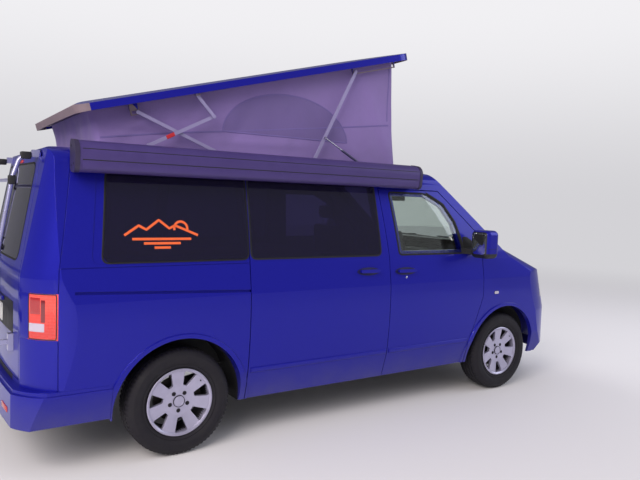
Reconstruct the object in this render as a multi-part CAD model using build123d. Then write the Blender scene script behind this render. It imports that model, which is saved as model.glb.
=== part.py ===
from build123d import *
import os
from math import atan2, cos, degrees, radians, sin

# Camper van with a rising roof. Millimetres, +X forward, +Y left, +Z up, wheels on z = 0.
# The van is drawn with x = 0 half-way between the axles and moved to its own centre when saved.

# Overall sizes
WHEELBASE = 3000.0
TRACK = 1628.0
FRONT_REACH = 2408.0
REAR_REACH = 2484.0
RACK_REACH = 2585.0
CENTRE_SHIFT = (RACK_REACH - FRONT_REACH) / 2
FRONT_AXLE = WHEELBASE / 2
REAR_AXLE = -WHEELBASE / 2

# Wheels
TYRE_R = 340.0
TYRE_W = 215.0
RIM_R = 216.0
RIM_W = 178.0
TREAD_W = 172.0
SPOKES = 7
SPOKE_PHASE = 94.0
RIM_WINDOW = (105.0, 194.0, 14.0, 44.0)
BOLT_RING_R = 60.0
BOLT_HOLE_R = 13.0
BOLTS = 5
HUB_CAP_R = 34.0
HUB_R = 62.0
HUB_Z = TYRE_R
KINGPIN_Y = 690.0
STRUT_X = 1535.0
STRUT_Y = 432.0
STUB_R = 30.0
FIT = 0.3

# Body section: half widths and heights
SILL_Z = 285.0
SILL_Y = 872.0
CREASE_Z = 480.0
CREASE_Y = 928.0
WAIST_Z = 800.0
WAIST_Y = 952.0
SHOULDER_Z = 1010.0
SHOULDER_Y = 950.0
BELT_Z = 1225.0
BELT_Y = 918.0
CANT_Z = 1795.0
CANT_Y = 806.0
ROOF_EDGE_Z = 1885.0
ROOF_EDGE_Y = 716.0
ROOF_Z = 1938.0
GLASS_BULGE = 8.0

# Wall build-up
DOOR_T = 60.0
DOOR_T_GLASS = 32.0
SEAL = 6.0
WALL_T = 112.0
WALL_T_GLASS = 76.0
ROOF_T = 40.0
PANEL_T = 30.0
GAP = 6.0
SEAT = 0.3
GLASS_T = 5.0

# Exhaust: start, end and radius of each run
EXHAUST = [
    ((900, 280, 436), (-800, 280, 436), 28),
    ((-800, 280, 436), (-1300, 280, 436), 28),
    ((-1300, 280, 436), (-1600, 280, 396), 28),
    ((-1600, 280, 396), (-2140, 280, 396), 85),
    ((-2140, 280, 396), (-2230, 280, 276), 24),
    ((-2230, 280, 276), (-2400, 280, 268), 24),
]

# Floor
FLOOR_TOP = 530.0
FLOOR_T = 40.0

# Windscreen and tail
SCREEN_SLOPE = 1.30
SCREEN_X = 1572.0
SCREEN_Z = 1258.0
SCREEN_BOW = 84.0
TAIL_X = 2432.0
TAIL_KNEE_Z = 1150.0
TAIL_LEAN = 0.195
BONNET_REAR = (1600.0, 1272.0)
BONNET_FRONT = (2310.0, 995.0)

# Nose: each zone's bottom, top, plan shift at its bottom and lean
NOSE_ZONES = [
    (SILL_Z, 352.0, -88.0, 1.31),
    (352.0, 690.0, 0.0, 0.0),
    (690.0, 1400.0, 0.0, -0.30),
]

# Doors
DOOR_REAR_X = 158.0
DOOR_FRONT_X = 1192.0
DOOR_FRONT_FOOT_X = 1052.0
SLIDER_REAR_X = -1039.0
WINDOW_LOW = 1240.0
WINDOW_HIGH = 1772.0

DOOR_TOP = 1812.0
FRONT_DOOR_TOP = 1742.0
FRONT_WINDOW_HIGH = 1716.0
DOOR_CORNER = 22.0
B_LEAN = 72.0
LAP = 50.0
FLANGE = 25.0
LAMP_DEPTH = 45.0

# Panel joints
HEADER_Z = 1840.0
TAILGATE_T = 60.0
TAILGATE_LOW = 555.0
TAILGATE_HIGH = 1893.0
HINGE_X = -2262.0
HINGE_Z = 1906.0
SCREEN_SET_BACK = 135.0
FIREWALL_X = 1440.0
FIREWALL_T = 38.0
SIDE_FRONT_X = 1198.0
PILLAR_FOOT_X = 1560.0
PILLAR_FOOT_Z = 1190.0
ROOF_SEAM_Y = 712.0
TAIL_POST_Y = 560.0
PILLAR_Y = 600.0
COWL_REAR_X = 1400.0
BONNET_REAR_X = 1625.0
BONNET_Y = 690.0
BONNET_LOW_Z = 972.0
BUMPER_FRONT_X = 1925.0
BUMPER_FRONT_Z = 690.0
LAMP_LOW_Z = 796.0
LAMP_REAR_X = 2062.0
LAMP_INNER_Y = 515.0
GRILLE_LOW_Z = 716.0
TAIL_LAMP = (808.0, 1070.0)
TAIL_LAMP_FRONT_X = -2226.0
TAIL_LAMP_INNER_Y = 712.0
BUMPER_REAR_X = -1925.0
BUMPER_REAR_Z = 520.0
BUMPER_LOW_Z = 302.0
BUMPER_T = 66.0
BUMPER_LEDGE = 12.0
BUMPER_LEDGE_H = 24.0

# Wheel arches
ARCH_R = 418.0
FLARE_W = 26.0
FLARE_T = 9.0
FLARE_SLOPE = 0.45
HOUSE_Y_FRONT = 500.0
HOUSE_Y_REAR = 640.0
LINER_T = 14.0
LINER_OUT_Y = 834.0
FLOOR_Y = 836.0
RAIL_X = 1055.0
RAIL_Y = (730.0, 800.0)

# Roof opening and bar troughs
ROOF_HOLE_X = -750.0
ROOF_HOLE_L = 2360.0
ROOF_HOLE_Y = 560.0
TROUGH_REAR_X = -1880.0
TROUGH_FRONT_X = 470.0
TROUGH_IN_Y = 622.0
TROUGH_OUT_Y = 706.0
TROUGH_Z = 1851.0
PAN_LOW_Z = 1842.0
PAN_HIGH_Z = 1870.0

# Grille
GRILLE_SLOTS = 4
GRILLE_PITCH = 56.0
GRILLE_SLOT = 34.0

# Rising roof, raised pose
ROOF_TILT = 15.3
SHELL_REAR = (-2100.0, 2100.0)
SHELL_LENGTH = 2772.0
SHELL_Y = 724.0
SHELL_RIM = 40.0
SHELL_CROWN = 60.0
SHELL_T = 12.0
SHELL_TAPER = 34.0
HEADLINER_Y = 606.0
HEADLINER_H = 14.0
COAMING_Z = 1936.0
COAMING_T = 40.0
TENT_T = 10.0
TENT_Y = 602.0
BAR_T = 8.0
BAR_H = 22.0
PIN_R = 5.0
EYE_R = 13.0
ROD_EYE_R = 9.5
EAR_T = 3.0
EAR_GAP = 0.5
FOOT_L = 26.0

# Bars of the roof lift: planes across the van, and pins in x and z
PLANE_LUG = 632.0
PLANE_ARM = 648.0
PLANE_LEVER = 662.0
PLANE_KNEE = 676.0
PLANE_OUTER_LUG = 690.0
ARM_FOOT = (-1198.0, 1950.0)
LEVER_FOOT = (-1648.0, 1951.0)
LEVER_LENGTH = 487.3
LEVER_ANGLE = 27.1
FRONT_FOOT = (-389.0, 1943.0)
FRONT_LENGTH = 783.0
FRONT_ANGLE = 62.9
STRUT_FOOT = (23.0, 1937.0)
STRUT_ON_ARM = 184.0
STRUT_R = 10.0
STRUT_BORE_R = 6.3
STRUT_ROD_R = 5.0
STRUT_TUBE_L = 195.0
STRUT_ROD_L = 190.0
ARM_HEAD = (386.0, -52.0)
ARM_SLOT = (-36.0, 7.0, -8.0, 14.0)
KNEE_HEAD = (784.0, 0.0)
KNEE_SLOT = (-7.0, 15.0, -7.0, 13.0)
RAIL_S = (2126.0, 2533.0)
RAIL_H = (-34.0, 12.0)

# Awning
AWNING_X = (-2150.0, 430.0)
AWNING_Z = (1752.0, 1936.0)
AWNING_Y = (820.0, 955.0)

# Bicycle rack
RACK_TUBE_R = 13.0
RACK_Y = 560.0
RACK_X = 55.0 - RACK_REACH

# Seams, pressings and handles of the side: lines in x and z
SEAM_W = 4.0
SEAM_DEPTH = 4.0
SEAMS = [
    [(-2128, 1885), (-2141, 1821), (-2222, 1200), (-2226, 1074)],
    [(-2226, 804), (-2226, 520)],
    [(-2224, 1211), (-1040, 1211)],
]
PRESSING = [(-2050, 1226), (-2002, 1796), (-1030, 1796), (-1030, 1226)]
DOOR_RAIL = [(-2141, 1064), (-1036, 1021), (-1036, 1037), (-2141, 1080)]
DOOR_RAIL_DEPTH = 14.0
HANDLES = {"front": (312.0, 1114.0), "slider": (-55.0, 1124.0)}
HANDLE_L = 176.0
HANDLE_H = 26.0
HANDLE_Y = 964.0

# Lower intake of the front bumper
INTAKE = (400.0, 432.0, 536.0)

os.makedirs("parts", exist_ok=True)
SAVED = []


def save(name, shape):
    """Write one node, moved to the van's own centre."""
    solids = [Pos(CENTRE_SHIFT, 0, 0) * solid for solid in shape.solids()]
    moved = solids[0] if len(solids) == 1 else Compound(children=solids)
    export_step(moved, "parts/" + name + ".step")
    SAVED.append(name)


def box(x0, x1, y0, y1, z0, z1):
    """Block between two corners."""
    return Pos((x0 + x1) / 2, (y0 + y1) / 2, (z0 + z1) / 2) * Box(x1 - x0, y1 - y0, z1 - z0)


def side_prism(sketch, y0, y1):
    """Extrude a sketch drawn in x and z from y0 to y1."""
    return extrude(Plane.XZ.offset(-y1) * sketch, y1 - y0, dir=(0, -1, 0))


def plan_prism(sketch, z0, z1):
    """Extrude a sketch drawn in x and y from z0 to z1."""
    return extrude(Plane.XY.offset(z0) * sketch, z1 - z0, dir=(0, 0, 1))


def end_prism(sketch, x0, x1):
    """Extrude a sketch drawn in y and z from x0 to x1."""
    return extrude(Plane.YZ.offset(x0) * sketch, x1 - x0, dir=(1, 0, 0))


def polygon(points, radius=0.0):
    """Closed outline with its corners rounded."""
    face = make_face(Polyline(*points, close=True))
    if radius:
        face = fillet(face.vertices(), radius)
    return face


def y_rod(x, z, radius, y0, y1):
    """Round bar across the van."""
    return side_prism(Pos(x, z) * Circle(radius), y0, y1)


def mirrored(shape):
    """The same shape on the other side of the van."""
    return mirror(shape, about=Plane.XZ)


def both(shape):
    """A right-hand shape with its left-hand twin, as solids that don't touch."""
    return Compound(children=list(shape.solids()) + list(mirrored(shape).solids()))


def body_section(low, high, roof, bottom, plumb):
    """Cross-section of the body, inset below the belt, beside the glass and at the roof."""
    mid = min(low, high) + 0.35 * abs(low - high)
    belt = (BELT_Y - mid, BELT_Z)
    cant = (CANT_Y - high, CANT_Z)
    bulge = ((belt[0] + cant[0]) / 2 + GLASS_BULGE, (BELT_Z + CANT_Z) / 2)
    edge = (ROOF_EDGE_Y - high, ROOF_EDGE_Z - roof)
    corner = (cant[0] - 0.27 * (cant[0] - edge[0]), cant[1] + 0.62 * (edge[1] - cant[1]))
    sill = (SILL_Y - low, bottom)
    lines = [Line((0, bottom), sill), Line(sill, (CREASE_Y - low, CREASE_Z))]
    if plumb:
        sill = (WAIST_Y - low, bottom)
        lines = [Line((0, bottom), sill), Line(sill, (SHOULDER_Y - low, SHOULDER_Z))]
    else:
        lines.append(ThreePointArc((CREASE_Y - low, CREASE_Z), (WAIST_Y - low, WAIST_Z),
                                   (SHOULDER_Y - low, SHOULDER_Z)))
    lines.append(Line((SHOULDER_Y - low, SHOULDER_Z), belt))
    lines.append(ThreePointArc(belt, bulge, cant))
    lines.append(ThreePointArc(cant, corner, edge))
    lines.append(ThreePointArc(edge, (edge[0] / 2, ROOF_Z - roof - 13), (0, ROOF_Z - roof)))
    lines.append(Line((0, ROOF_Z - roof), (0, bottom)))
    half = make_face(lines)
    return half + mirror(half, about=Plane.YZ)


def front_outline(inset):
    """Outline of the nose seen from above."""
    nose = FRONT_REACH - inset
    side = WAIST_Y + 6 - inset
    corner = (2288 - inset, 722 - inset * 0.7)
    cheek = (2080 - inset * 0.5, 890 - inset)
    lines = [
        Line((1000, 990), (1000, -990)),
        Line((1000, -990), (1700, -990)),
        Line((1700, -990), (1700, -side)),
        ThreePointArc((1700, -side), (cheek[0], -cheek[1]), (corner[0], -corner[1])),
        ThreePointArc((corner[0], -corner[1]), (nose, 0), corner),
        ThreePointArc(corner, cheek, (1700, side)),
        Line((1700, side), (1700, 990)),
        Line((1700, 990), (1000, 990)),
    ]
    return make_face(lines)


def tail_outline(inset):
    """Rear outline of the greenhouse, with x = 0 at 2000 mm behind the middle."""
    tail = TAIL_X - 2000.0 - inset
    side = WAIST_Y + 6 - inset
    lines = [
        Line((3700, 990), (3700, -990)),
        Line((3700, -990), (-80, -990)),
        Line((-80, -990), (-80, -side)),
        ThreePointArc((-80, -side), (-300 + inset * 0.4, -870 + inset), (-tail + 36, -730 + inset * 0.7)),
        ThreePointArc((-tail + 36, -730 + inset * 0.7), (-tail, 0), (-tail + 36, 730 - inset * 0.7)),
        ThreePointArc((-tail + 36, 730 - inset * 0.7), (-300 + inset * 0.4, 870 - inset), (-80, side)),
        Line((-80, side), (-80, 990)),
        Line((-80, 990), (3700, 990)),
    ]
    return make_face(lines)


def nose_block(inset):
    """Front of the lower body: chin, bumper and leaning grille, each with the same plan."""
    block = None
    for z0, z1, shift, lean in NOSE_ZONES:
        face = Plane.XY.offset(z0) * (Pos(shift, 0) * front_outline(inset))
        way = Vector(lean, 0, 1)
        zone = extrude(face, amount=(z1 - z0) * way.length, dir=way)
        block = zone if block is None else block + zone
    return block


def bonnet_form(inset):
    """Crowned, sloping block whose top is the bonnet and whose shoulders are the wings."""
    x0, z0 = BONNET_REAR
    x1, z1 = BONNET_FRONT
    top = z0 - inset
    back = 1200.0
    slope = (z1 - z0) / (x1 - x0)
    lift = (x0 - back) * -slope
    half = 958.0 - inset
    lines = [
        Line((0, 0), (half, 0)),
        Line((half, 0), (half, top - 205)),
        ThreePointArc((half, top - 205), (half - 48, top - 82), (half - 165, top - 36)),
        ThreePointArc((half - 165, top - 36), (half / 2 - 60, top - 8), (0, top)),
        Line((0, top), (0, 0)),
    ]
    face = make_face(lines)
    face = face + mirror(face, about=Plane.YZ)
    run = 1400.0
    start = Plane.YZ.offset(back) * (Pos(0, lift) * face)
    direction = Vector(1, 0, slope)
    return extrude(start, amount=run * direction.length, dir=direction)


def tail_block(inset):
    """Rear of the body: upright below the belt and leaning above it."""
    plan = Pos(-2000, 0) * tail_outline(inset)
    lean = Vector(TAIL_LEAN, 0, 1)
    upper = extrude(Plane.XY.offset(TAIL_KNEE_Z) * plan, amount=900 * lean.length, dir=lean)
    upper = upper & box(-2600, 500, -990, 990, TAIL_KNEE_Z, 2100)
    return plan_prism(plan, 100, TAIL_KNEE_Z) + upper + box(500, 2600, -990, 990, 100, 2100)


def lower_form(inset):
    """Everything below the belt, front and rear."""
    rear = box(-2600, 1480, -990, 990, SILL_Z, TAIL_KNEE_Z)
    front = bonnet_form(inset) & box(1000, 2600, -990, 990, SILL_Z, 1500) & nose_block(inset)
    front = front & box(1480, 2600, -990, 990, SILL_Z, 1500)
    return rear + front


def upper_form(inset):
    """The greenhouse, behind the curved windscreen and under the roof."""
    rise = 900.0
    reach = SCREEN_X + (SCREEN_Z - TAIL_KNEE_Z) * SCREEN_SLOPE - inset * 1.25
    side = reach - SCREEN_BOW * 1.55
    lines = [
        Line((-900, 990), (-900, -990)),
        Line((-900, -990), (side, -990)),
        ThreePointArc((side, -990), (reach, 0), (side, 990)),
        Line((side, 990), (-900, 990)),
    ]
    lean = Vector(-SCREEN_SLOPE, 0, 1)
    screen = extrude(Plane.XY.offset(TAIL_KNEE_Z) * make_face(lines), amount=rise * lean.length, dir=lean)
    screen = screen + box(-2600, -850, -990, 990, TAIL_KNEE_Z, TAIL_KNEE_Z + rise)
    return screen & side_prism(roof_profile(inset), -990, 990)


def roof_profile(inset):
    """Side profile of the roof, with its ends turned down."""
    lines = [
        Line((-2600, TAIL_KNEE_Z), (FRONT_REACH, TAIL_KNEE_Z)),
        Line((FRONT_REACH, TAIL_KNEE_Z), (FRONT_REACH, 1500)),
        Line((FRONT_REACH, 1500), (905, 1771 - inset)),
        ThreePointArc((905, 1771 - inset), (762, 1868 - inset), (560, ROOF_Z - 20 - inset)),
        ThreePointArc((560, ROOF_Z - 20 - inset), (-900, ROOF_Z + 2 - inset), (-2150, ROOF_Z - 20 - inset)),
        ThreePointArc((-2150, ROOF_Z - 20 - inset), (-2240, 1900 - inset), (-2320, 1850 - inset)),
        Line((-2320, 1850 - inset), (-2600, 1700)),
        Line((-2600, 1700), (-2600, TAIL_KNEE_Z)),
    ]
    return make_face(lines)


def form(inset):
    """The whole body as one block, before the cross-section is cut."""
    return (lower_form(inset) + upper_form(inset)) & tail_block(inset)


def section_bar(low, high, roof, bottom=SILL_Z, plumb=False):
    """The cross-section run the length of the van."""
    return end_prism(body_section(low, high, roof, bottom, plumb), -2650, 2650)


def cavity_profile():
    """Side profile of the cabin and load space."""
    tail = -(TAIL_X - TAILGATE_T)
    back = SCREEN_X - SCREEN_SET_BACK
    top = 1850.0
    return polygon([
        (tail, 200), (tail, TAIL_KNEE_Z), (tail + TAIL_LEAN * (HEADER_Z - TAIL_KNEE_Z), HEADER_Z),
        (-2215, HEADER_Z), (-2215, 1990), (640, 1990), (back - SCREEN_SLOPE * (top - SCREEN_Z), top),
        (FIREWALL_X, SCREEN_Z + (back - FIREWALL_X) / SCREEN_SLOPE), (FIREWALL_X, 200)])


def front_door_outline():
    """Front door seen from the side."""
    return polygon([
        (DOOR_REAR_X, 240), (DOOR_REAR_X, BELT_Z), (DOOR_REAR_X - B_LEAN * 0.88, FRONT_DOOR_TOP),
        (725, FRONT_DOOR_TOP), (1130, 1410), (DOOR_FRONT_X, 1335), (DOOR_FRONT_X, 860),
        (DOOR_FRONT_FOOT_X, 470), (DOOR_FRONT_FOOT_X, 240)], DOOR_CORNER)


def slider_outline():
    """Sliding door seen from the side."""
    front = DOOR_REAR_X - GAP
    return polygon([
        (SLIDER_REAR_X, 240), (SLIDER_REAR_X, DOOR_TOP), (front - B_LEAN, DOOR_TOP),
        (front, BELT_Z), (front, 240)], DOOR_CORNER)


def front_window():
    """Glass of the front door."""
    return polygon([
        (262, WINDOW_LOW), (197, FRONT_WINDOW_HIGH), (575, FRONT_WINDOW_HIGH), (752, 1632),
        (868, 1490), (928, 1344), (958, WINDOW_LOW)], 22)


def slider_window():
    """Glass of the sliding door and of the side opposite."""
    return polygon([
        (SLIDER_REAR_X + 12, WINDOW_LOW), (SLIDER_REAR_X + 12, WINDOW_HIGH),
        (45, WINDOW_HIGH), (72, WINDOW_LOW)], 24)


def quarter_window():
    """Rear side glass."""
    return polygon([
        (-1985, WINDOW_LOW), (-1945, WINDOW_HIGH), (SLIDER_REAR_X - 14, WINDOW_HIGH),
        (SLIDER_REAR_X - 14, WINDOW_LOW)], 40)


def tailgate_outline(grow=0.0):
    """Tailgate seen from behind."""
    low = TAILGATE_LOW - grow
    high = TAILGATE_HIGH + grow
    return polygon([
        (-700 - grow, low), (-700 - grow, 1190), (-604 - grow, high),
        (604 + grow, high), (700 + grow, 1190), (700 + grow, low)], 28)


def screen_outline(grow=0.0):
    """Windscreen seen from the front."""
    return polygon([
        (-738 - grow, 1276 - grow), (-652 - grow, 1838 + grow), (652 + grow, 1838 + grow),
        (738 + grow, 1276 - grow)], 50)


def arch_bore(x, inner):
    """Round opening over a right-hand wheel."""
    return y_rod(x, HUB_Z, ARCH_R, -1100, -inner)


def flare(axle):
    """Raised lip round a right-hand wheel arch, with a sloping outer edge."""
    def radius(y):
        return ARCH_R + FLARE_W + FLARE_SLOPE * (WAIST_Y + FLARE_T - y)
    cone = revolve(polygon([(0, -990), (radius(990), -990), (radius(858), -858), (0, -858)]), Axis.Y)
    lip = Pos(axle, 0, HUB_Z) * cone & section_bar(-FLARE_T, -FLARE_T, 0)
    return lip & plan_prism(front_outline(-FLARE_T) + box_face(-2600, 1001, 990), SILL_Z, 1500)


def box_face(x0, x1, half):
    """Rectangle seen from above, between two lengths."""
    return Pos((x0 + x1) / 2, 0) * Rectangle(x1 - x0, 2 * half)


def seam(points, width=SEAM_W):
    """Narrow groove in the right-hand side along a line of points."""
    cut = None
    for a, b in zip(points, points[1:]):
        length = ((b[0] - a[0]) ** 2 + (b[1] - a[1]) ** 2) ** 0.5
        angle = degrees(atan2(b[1] - a[1], b[0] - a[0]))
        face = Pos(*a) * Rot(0, 0, angle) * Pos(length / 2, 0) * Rectangle(length + width, width)
        run = side_prism(face, -1100, -300)
        cut = run if cut is None else cut + run
    return cut & press_skin


def sealed_pocket(outline):
    """Pocket of a door, less the rubber lip in its frame that the closed door rests on."""
    pocket = pocket_skin & side_prism(offset(outline, GAP), -1100, -300)
    ring = side_prism(offset(outline, -16), -1100, -300) - side_prism(offset(outline, -30), -1100, -300)
    lip = ring & box(-2700, 2700, -1100, 0, 505, 2200)
    return pocket - (lip & seal_bar)


def handle(name):
    """Pull handle that stands off the panel on two feet."""
    x, z = HANDLES[name]
    grip = side_prism(Pos(x, z) * SlotOverall(HANDLE_L, HANDLE_H), -HANDLE_Y, 14 - HANDLE_Y)
    for sign in (-1, 1):
        foot = box(x + sign * 64 - 15, x + sign * 64 + 15, 10 - HANDLE_Y, 42 - HANDLE_Y, z - 9, z + 9)
        grip = grip + foot
    return grip


def side_panel(outline, glass_skin, recess, wall_piece):
    """Cut a window with a seat for its glass, and return the panel and the glass."""
    seat = side_prism(outline, -1100, -300)
    hole = side_prism(offset(outline, -FLANGE), -1100, -300)
    glass = glass_skin & side_prism(offset(outline, -SEAT), -1100, -300)
    return wall_piece - (recess & seat) - hole, glass


# Body: outer form, hollow cabin and engine bay
plain = form(0) & section_bar(0, 0, 0)
outer = plain
for axle in (FRONT_AXLE, REAR_AXLE):
    outer = outer + flare(axle) + mirrored(flare(axle))
cabin = section_bar(WALL_T, WALL_T_GLASS, ROOF_T, 200, True) & side_prism(cavity_profile(), -990, 990)
cabin = cabin & tail_block(TAILGATE_T)
bay = bonnet_form(PANEL_T) & nose_block(PANEL_T + 8) & section_bar(PANEL_T, PANEL_T, PANEL_T, 200)
bay = bay & box(FIREWALL_X + FIREWALL_T, 2600, -990, 990, 200, 1500)
wall = outer - cabin - bay
right = box(-2700, 2700, -1100, 0, 0, 2200)
outer_right = outer & right
plain_right = plain & right

# Skins that the glass and the doors are cut from
glass_skin = plain_right - section_bar(GLASS_T, GLASS_T, GLASS_T)
recess_skin = plain_right - section_bar(GLASS_T + SEAT, GLASS_T + SEAT, GLASS_T + SEAT)
door_skin = outer_right - section_bar(DOOR_T, DOOR_T_GLASS, ROOF_T)
pocket_skin = outer_right - section_bar(DOOR_T + SEAL, DOOR_T_GLASS + SEAL, ROOF_T + SEAL)
seal_bar = section_bar(DOOR_T + SEAT, DOOR_T_GLASS + SEAT, ROOF_T + SEAT)
press_skin = plain_right - (section_bar(SEAM_DEPTH, SEAM_DEPTH, SEAM_DEPTH) & tail_block(SEAM_DEPTH))
rail_skin = plain_right - (section_bar(DOOR_RAIL_DEPTH, DOOR_RAIL_DEPTH, 0) & tail_block(DOOR_RAIL_DEPTH))

# Doors
zone = side_prism(front_door_outline(), -1100, -300)
door_right, door_glass_right = side_panel(front_window(), glass_skin, recess_skin, door_skin & zone)
door_right = door_right - arch_bore(FRONT_AXLE, HOUSE_Y_FRONT) + handle("front")
for z in (890, 1095):
    door_right = door_right + box(DOOR_FRONT_X - 4, SIDE_FRONT_X - SEAT, -925, -897, z, z + 60)
zone = side_prism(slider_outline(), -1100, -300)
sliding_door, slider_glass = side_panel(slider_window(), glass_skin, recess_skin, door_skin & zone)
sliding_door = sliding_door + handle("slider")

# Body sides: the wall less the door pockets, the apertures behind them, wheel arches and glass
pocket_front = sealed_pocket(front_door_outline())
pocket_slider = sealed_pocket(slider_outline())
above_floor = box(-2700, 2700, -1100, 0, FLOOR_TOP + 15, 2200)
aperture_front = side_prism(offset(front_door_outline(), -LAP), -1100, -300) & above_floor
aperture_slider = side_prism(offset(slider_outline(), -LAP), -1100, -300) & above_floor

side_zone = box(-2600, SIDE_FRONT_X, -1100, -ROOF_SEAM_Y, 0, 2200)
side_zone = side_zone + box(-2600, SIDE_FRONT_X, -1100, -PILLAR_Y, 0, HEADER_Z)
side_zone = side_zone + box(-2600, -2000, -1100, -TAIL_POST_Y, 0, HEADER_Z)
side_zone = side_zone + box(SIDE_FRONT_X - 1, PILLAR_FOOT_X, -1100, -PILLAR_Y, PILLAR_FOOT_Z, HEADER_Z)
side_zone = side_zone + box(SIDE_FRONT_X - 1, PILLAR_FOOT_X, -1100, -ROOF_SEAM_Y, PILLAR_FOOT_Z, 2200)
tail_opening = end_prism(tailgate_outline(GAP), -2700, HINGE_X + 1)
tail_opening = tail_opening + (end_prism(tailgate_outline(GAP), -2700, -2100)
                               & box(-2700, -2100, -990, 990, 0, HEADER_Z))
screen_opening = end_prism(offset(screen_outline(), -FLANGE), 400, 1700)
screen_recess = (plain - Pos(-GLASS_T * 1.7, 0, 0) * plain) & end_prism(screen_outline(), 400, 1700)
screen = plain - Pos(-GLASS_T * 1.6, 0, 0) * plain
screen = screen & end_prism(offset(screen_outline(), -SEAT), 400, 1700)
bumper_zone = box(-2700, BUMPER_REAR_X, -1100, 1100, 0, BUMPER_REAR_Z)

tail_lamp_zone = box(-2700, TAIL_LAMP_FRONT_X, -1100, -TAIL_LAMP_INNER_Y, *TAIL_LAMP)
tail_lamp_skin = plain_right - section_bar(LAMP_DEPTH, LAMP_DEPTH, 0)
tail_lamp_skin = tail_lamp_skin + (plain_right - Pos(LAMP_DEPTH, 0, 0) * plain)
tail_lamp_skin = tail_lamp_skin & tail_lamp_zone

shell_right = (plain - cabin - bay) & right & side_zone
shell_right = shell_right - (screen_opening + screen_recess) - tail_opening - tail_lamp_zone
for axle in (FRONT_AXLE, REAR_AXLE):
    shell_right = shell_right + (flare(axle) & side_zone)
shell_right = shell_right - bumper_zone - arch_bore(REAR_AXLE, HOUSE_Y_REAR)
shell_right = shell_right - arch_bore(FRONT_AXLE, HOUSE_Y_FRONT)
closed_side = shell_right - pocket_front - aperture_front
closed_side = closed_side - (press_skin & side_prism(polygon(PRESSING, 50), -1100, -300))
for line in SEAMS:
    closed_side = closed_side - seam(line)
closed_side, quarter_glass = side_panel(quarter_window(), glass_skin, recess_skin, closed_side)
side_right = closed_side - pocket_slider - aperture_slider
side_right = side_right - (rail_skin & side_prism(polygon(DOOR_RAIL), -1100, -300))
side_left, left_glass = side_panel(slider_window(), glass_skin, recess_skin, closed_side)
save("body_sides", Compound(children=list(side_right.solids()) + list(mirrored(side_left).solids())))
save("door_right", door_right)
save("door_left", mirrored(door_right))
save("door_glass_right", door_glass_right)
save("door_glass_left", mirrored(door_glass_right))
save("sliding_door", sliding_door)
glass = [quarter_glass, slider_glass, mirrored(quarter_glass), mirrored(left_glass)]
save("side_windows", Compound(children=[s for g in glass for s in g.solids()]))
save("tail_lamps", both(tail_lamp_skin))

# Roof panel between the side seams, with the sleeping opening and a trough for the roof bars
roof_panel = wall & box(HINGE_X, 1200, -ROOF_SEAM_Y, ROOF_SEAM_Y, HEADER_Z, 2200)
roof_panel = roof_panel + (wall & box(500, 1200, -PILLAR_Y, PILLAR_Y, 1700, HEADER_Z))
roof_panel = roof_panel - screen_opening - screen_recess - screen
opening = Pos(ROOF_HOLE_X, 0) * RectangleRounded(ROOF_HOLE_L, 2 * ROOF_HOLE_Y, 60)
coaming_l = ROOF_HOLE_L + 2 * COAMING_T
coaming = Pos(ROOF_HOLE_X, 0) * RectangleRounded(coaming_l, 2 * (ROOF_HOLE_Y + COAMING_T), 90)
roof_panel = roof_panel + (plan_prism(coaming, 1870, COAMING_Z) - cabin)
roof_panel = roof_panel - plan_prism(opening, 1700, 2200)
pan = box(TROUGH_REAR_X - 10, TROUGH_FRONT_X + 10, -ROOF_SEAM_Y, 10 - TROUGH_IN_Y, PAN_LOW_Z, PAN_HIGH_Z)
roof_panel = roof_panel + pan + mirrored(pan)
trough = box(TROUGH_REAR_X, TROUGH_FRONT_X, -TROUGH_OUT_Y, -TROUGH_IN_Y, TROUGH_Z, 2200)
roof_panel = roof_panel - trough - mirrored(trough)
save("roof_panel", roof_panel)

# Windscreen, trimmed to its seat in the pillars, cowl and firewall
pillars = closed_side & box(700, 1800, -1100, 0, PILLAR_FOOT_Z, 2000)
screen = screen - pillars - mirrored(pillars)
save("windscreen", screen)
cowl = wall & box(COWL_REAR_X, BONNET_REAR_X - GAP, -PILLAR_Y, PILLAR_Y, PILLAR_FOOT_Z, 1400)
cowl = cowl - screen_opening - screen_recess - screen
save("cowl", cowl)
firewall = wall & box(FIREWALL_X, FIREWALL_X + FIREWALL_T, -836, 836, SILL_Z, PILLAR_FOOT_Z)
liner_bore = y_rod(FRONT_AXLE, HUB_Z, ARCH_R + LINER_T + SEAT, -1100, LINER_T + SEAT - HOUSE_Y_FRONT)
firewall = firewall - liner_bore - mirrored(liner_bore)
save("firewall", firewall)

# Bonnet, wings, front bumper, lamps and grille
bonnet_zone = box(BONNET_REAR_X, 2600, -BONNET_Y, BONNET_Y, BONNET_LOW_Z, 1500)
bonnet = wall & bonnet_zone
leaf = box(BONNET_REAR_X - GAP + SEAT, BONNET_REAR_X + 4, -520, -460, 1229, 1246)
bonnet = bonnet + leaf + mirrored(leaf)
save("bonnet", bonnet)
front = wall & box(SIDE_FRONT_X, 2600, -1100, 1100, 0, 1500)
front = front - box(BONNET_REAR_X - GAP, 2600, -BONNET_Y - GAP, BONNET_Y + GAP, BONNET_LOW_Z - GAP, 1500)
front = front - arch_bore(FRONT_AXLE, HOUSE_Y_FRONT) - mirrored(arch_bore(FRONT_AXLE, HOUSE_Y_FRONT))
bumper_cut = box(BUMPER_FRONT_X, 2600, -1100, 1100, 0, BUMPER_FRONT_Z)
bumper_cut = bumper_cut + box(LAMP_REAR_X, 2600, -1100, 1100, 0, LAMP_LOW_Z)
bumper_cut = bumper_cut - box(LAMP_REAR_X, 2600, -LAMP_INNER_Y, LAMP_INNER_Y, GRILLE_LOW_Z, 1500)
lamp_cut = box(LAMP_REAR_X, 2600, -1100, -LAMP_INNER_Y, LAMP_LOW_Z, BONNET_LOW_Z - GAP)
grille_cut = box(LAMP_REAR_X, 2600, -LAMP_INNER_Y, LAMP_INNER_Y, GRILLE_LOW_Z, BONNET_LOW_Z - GAP)
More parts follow.
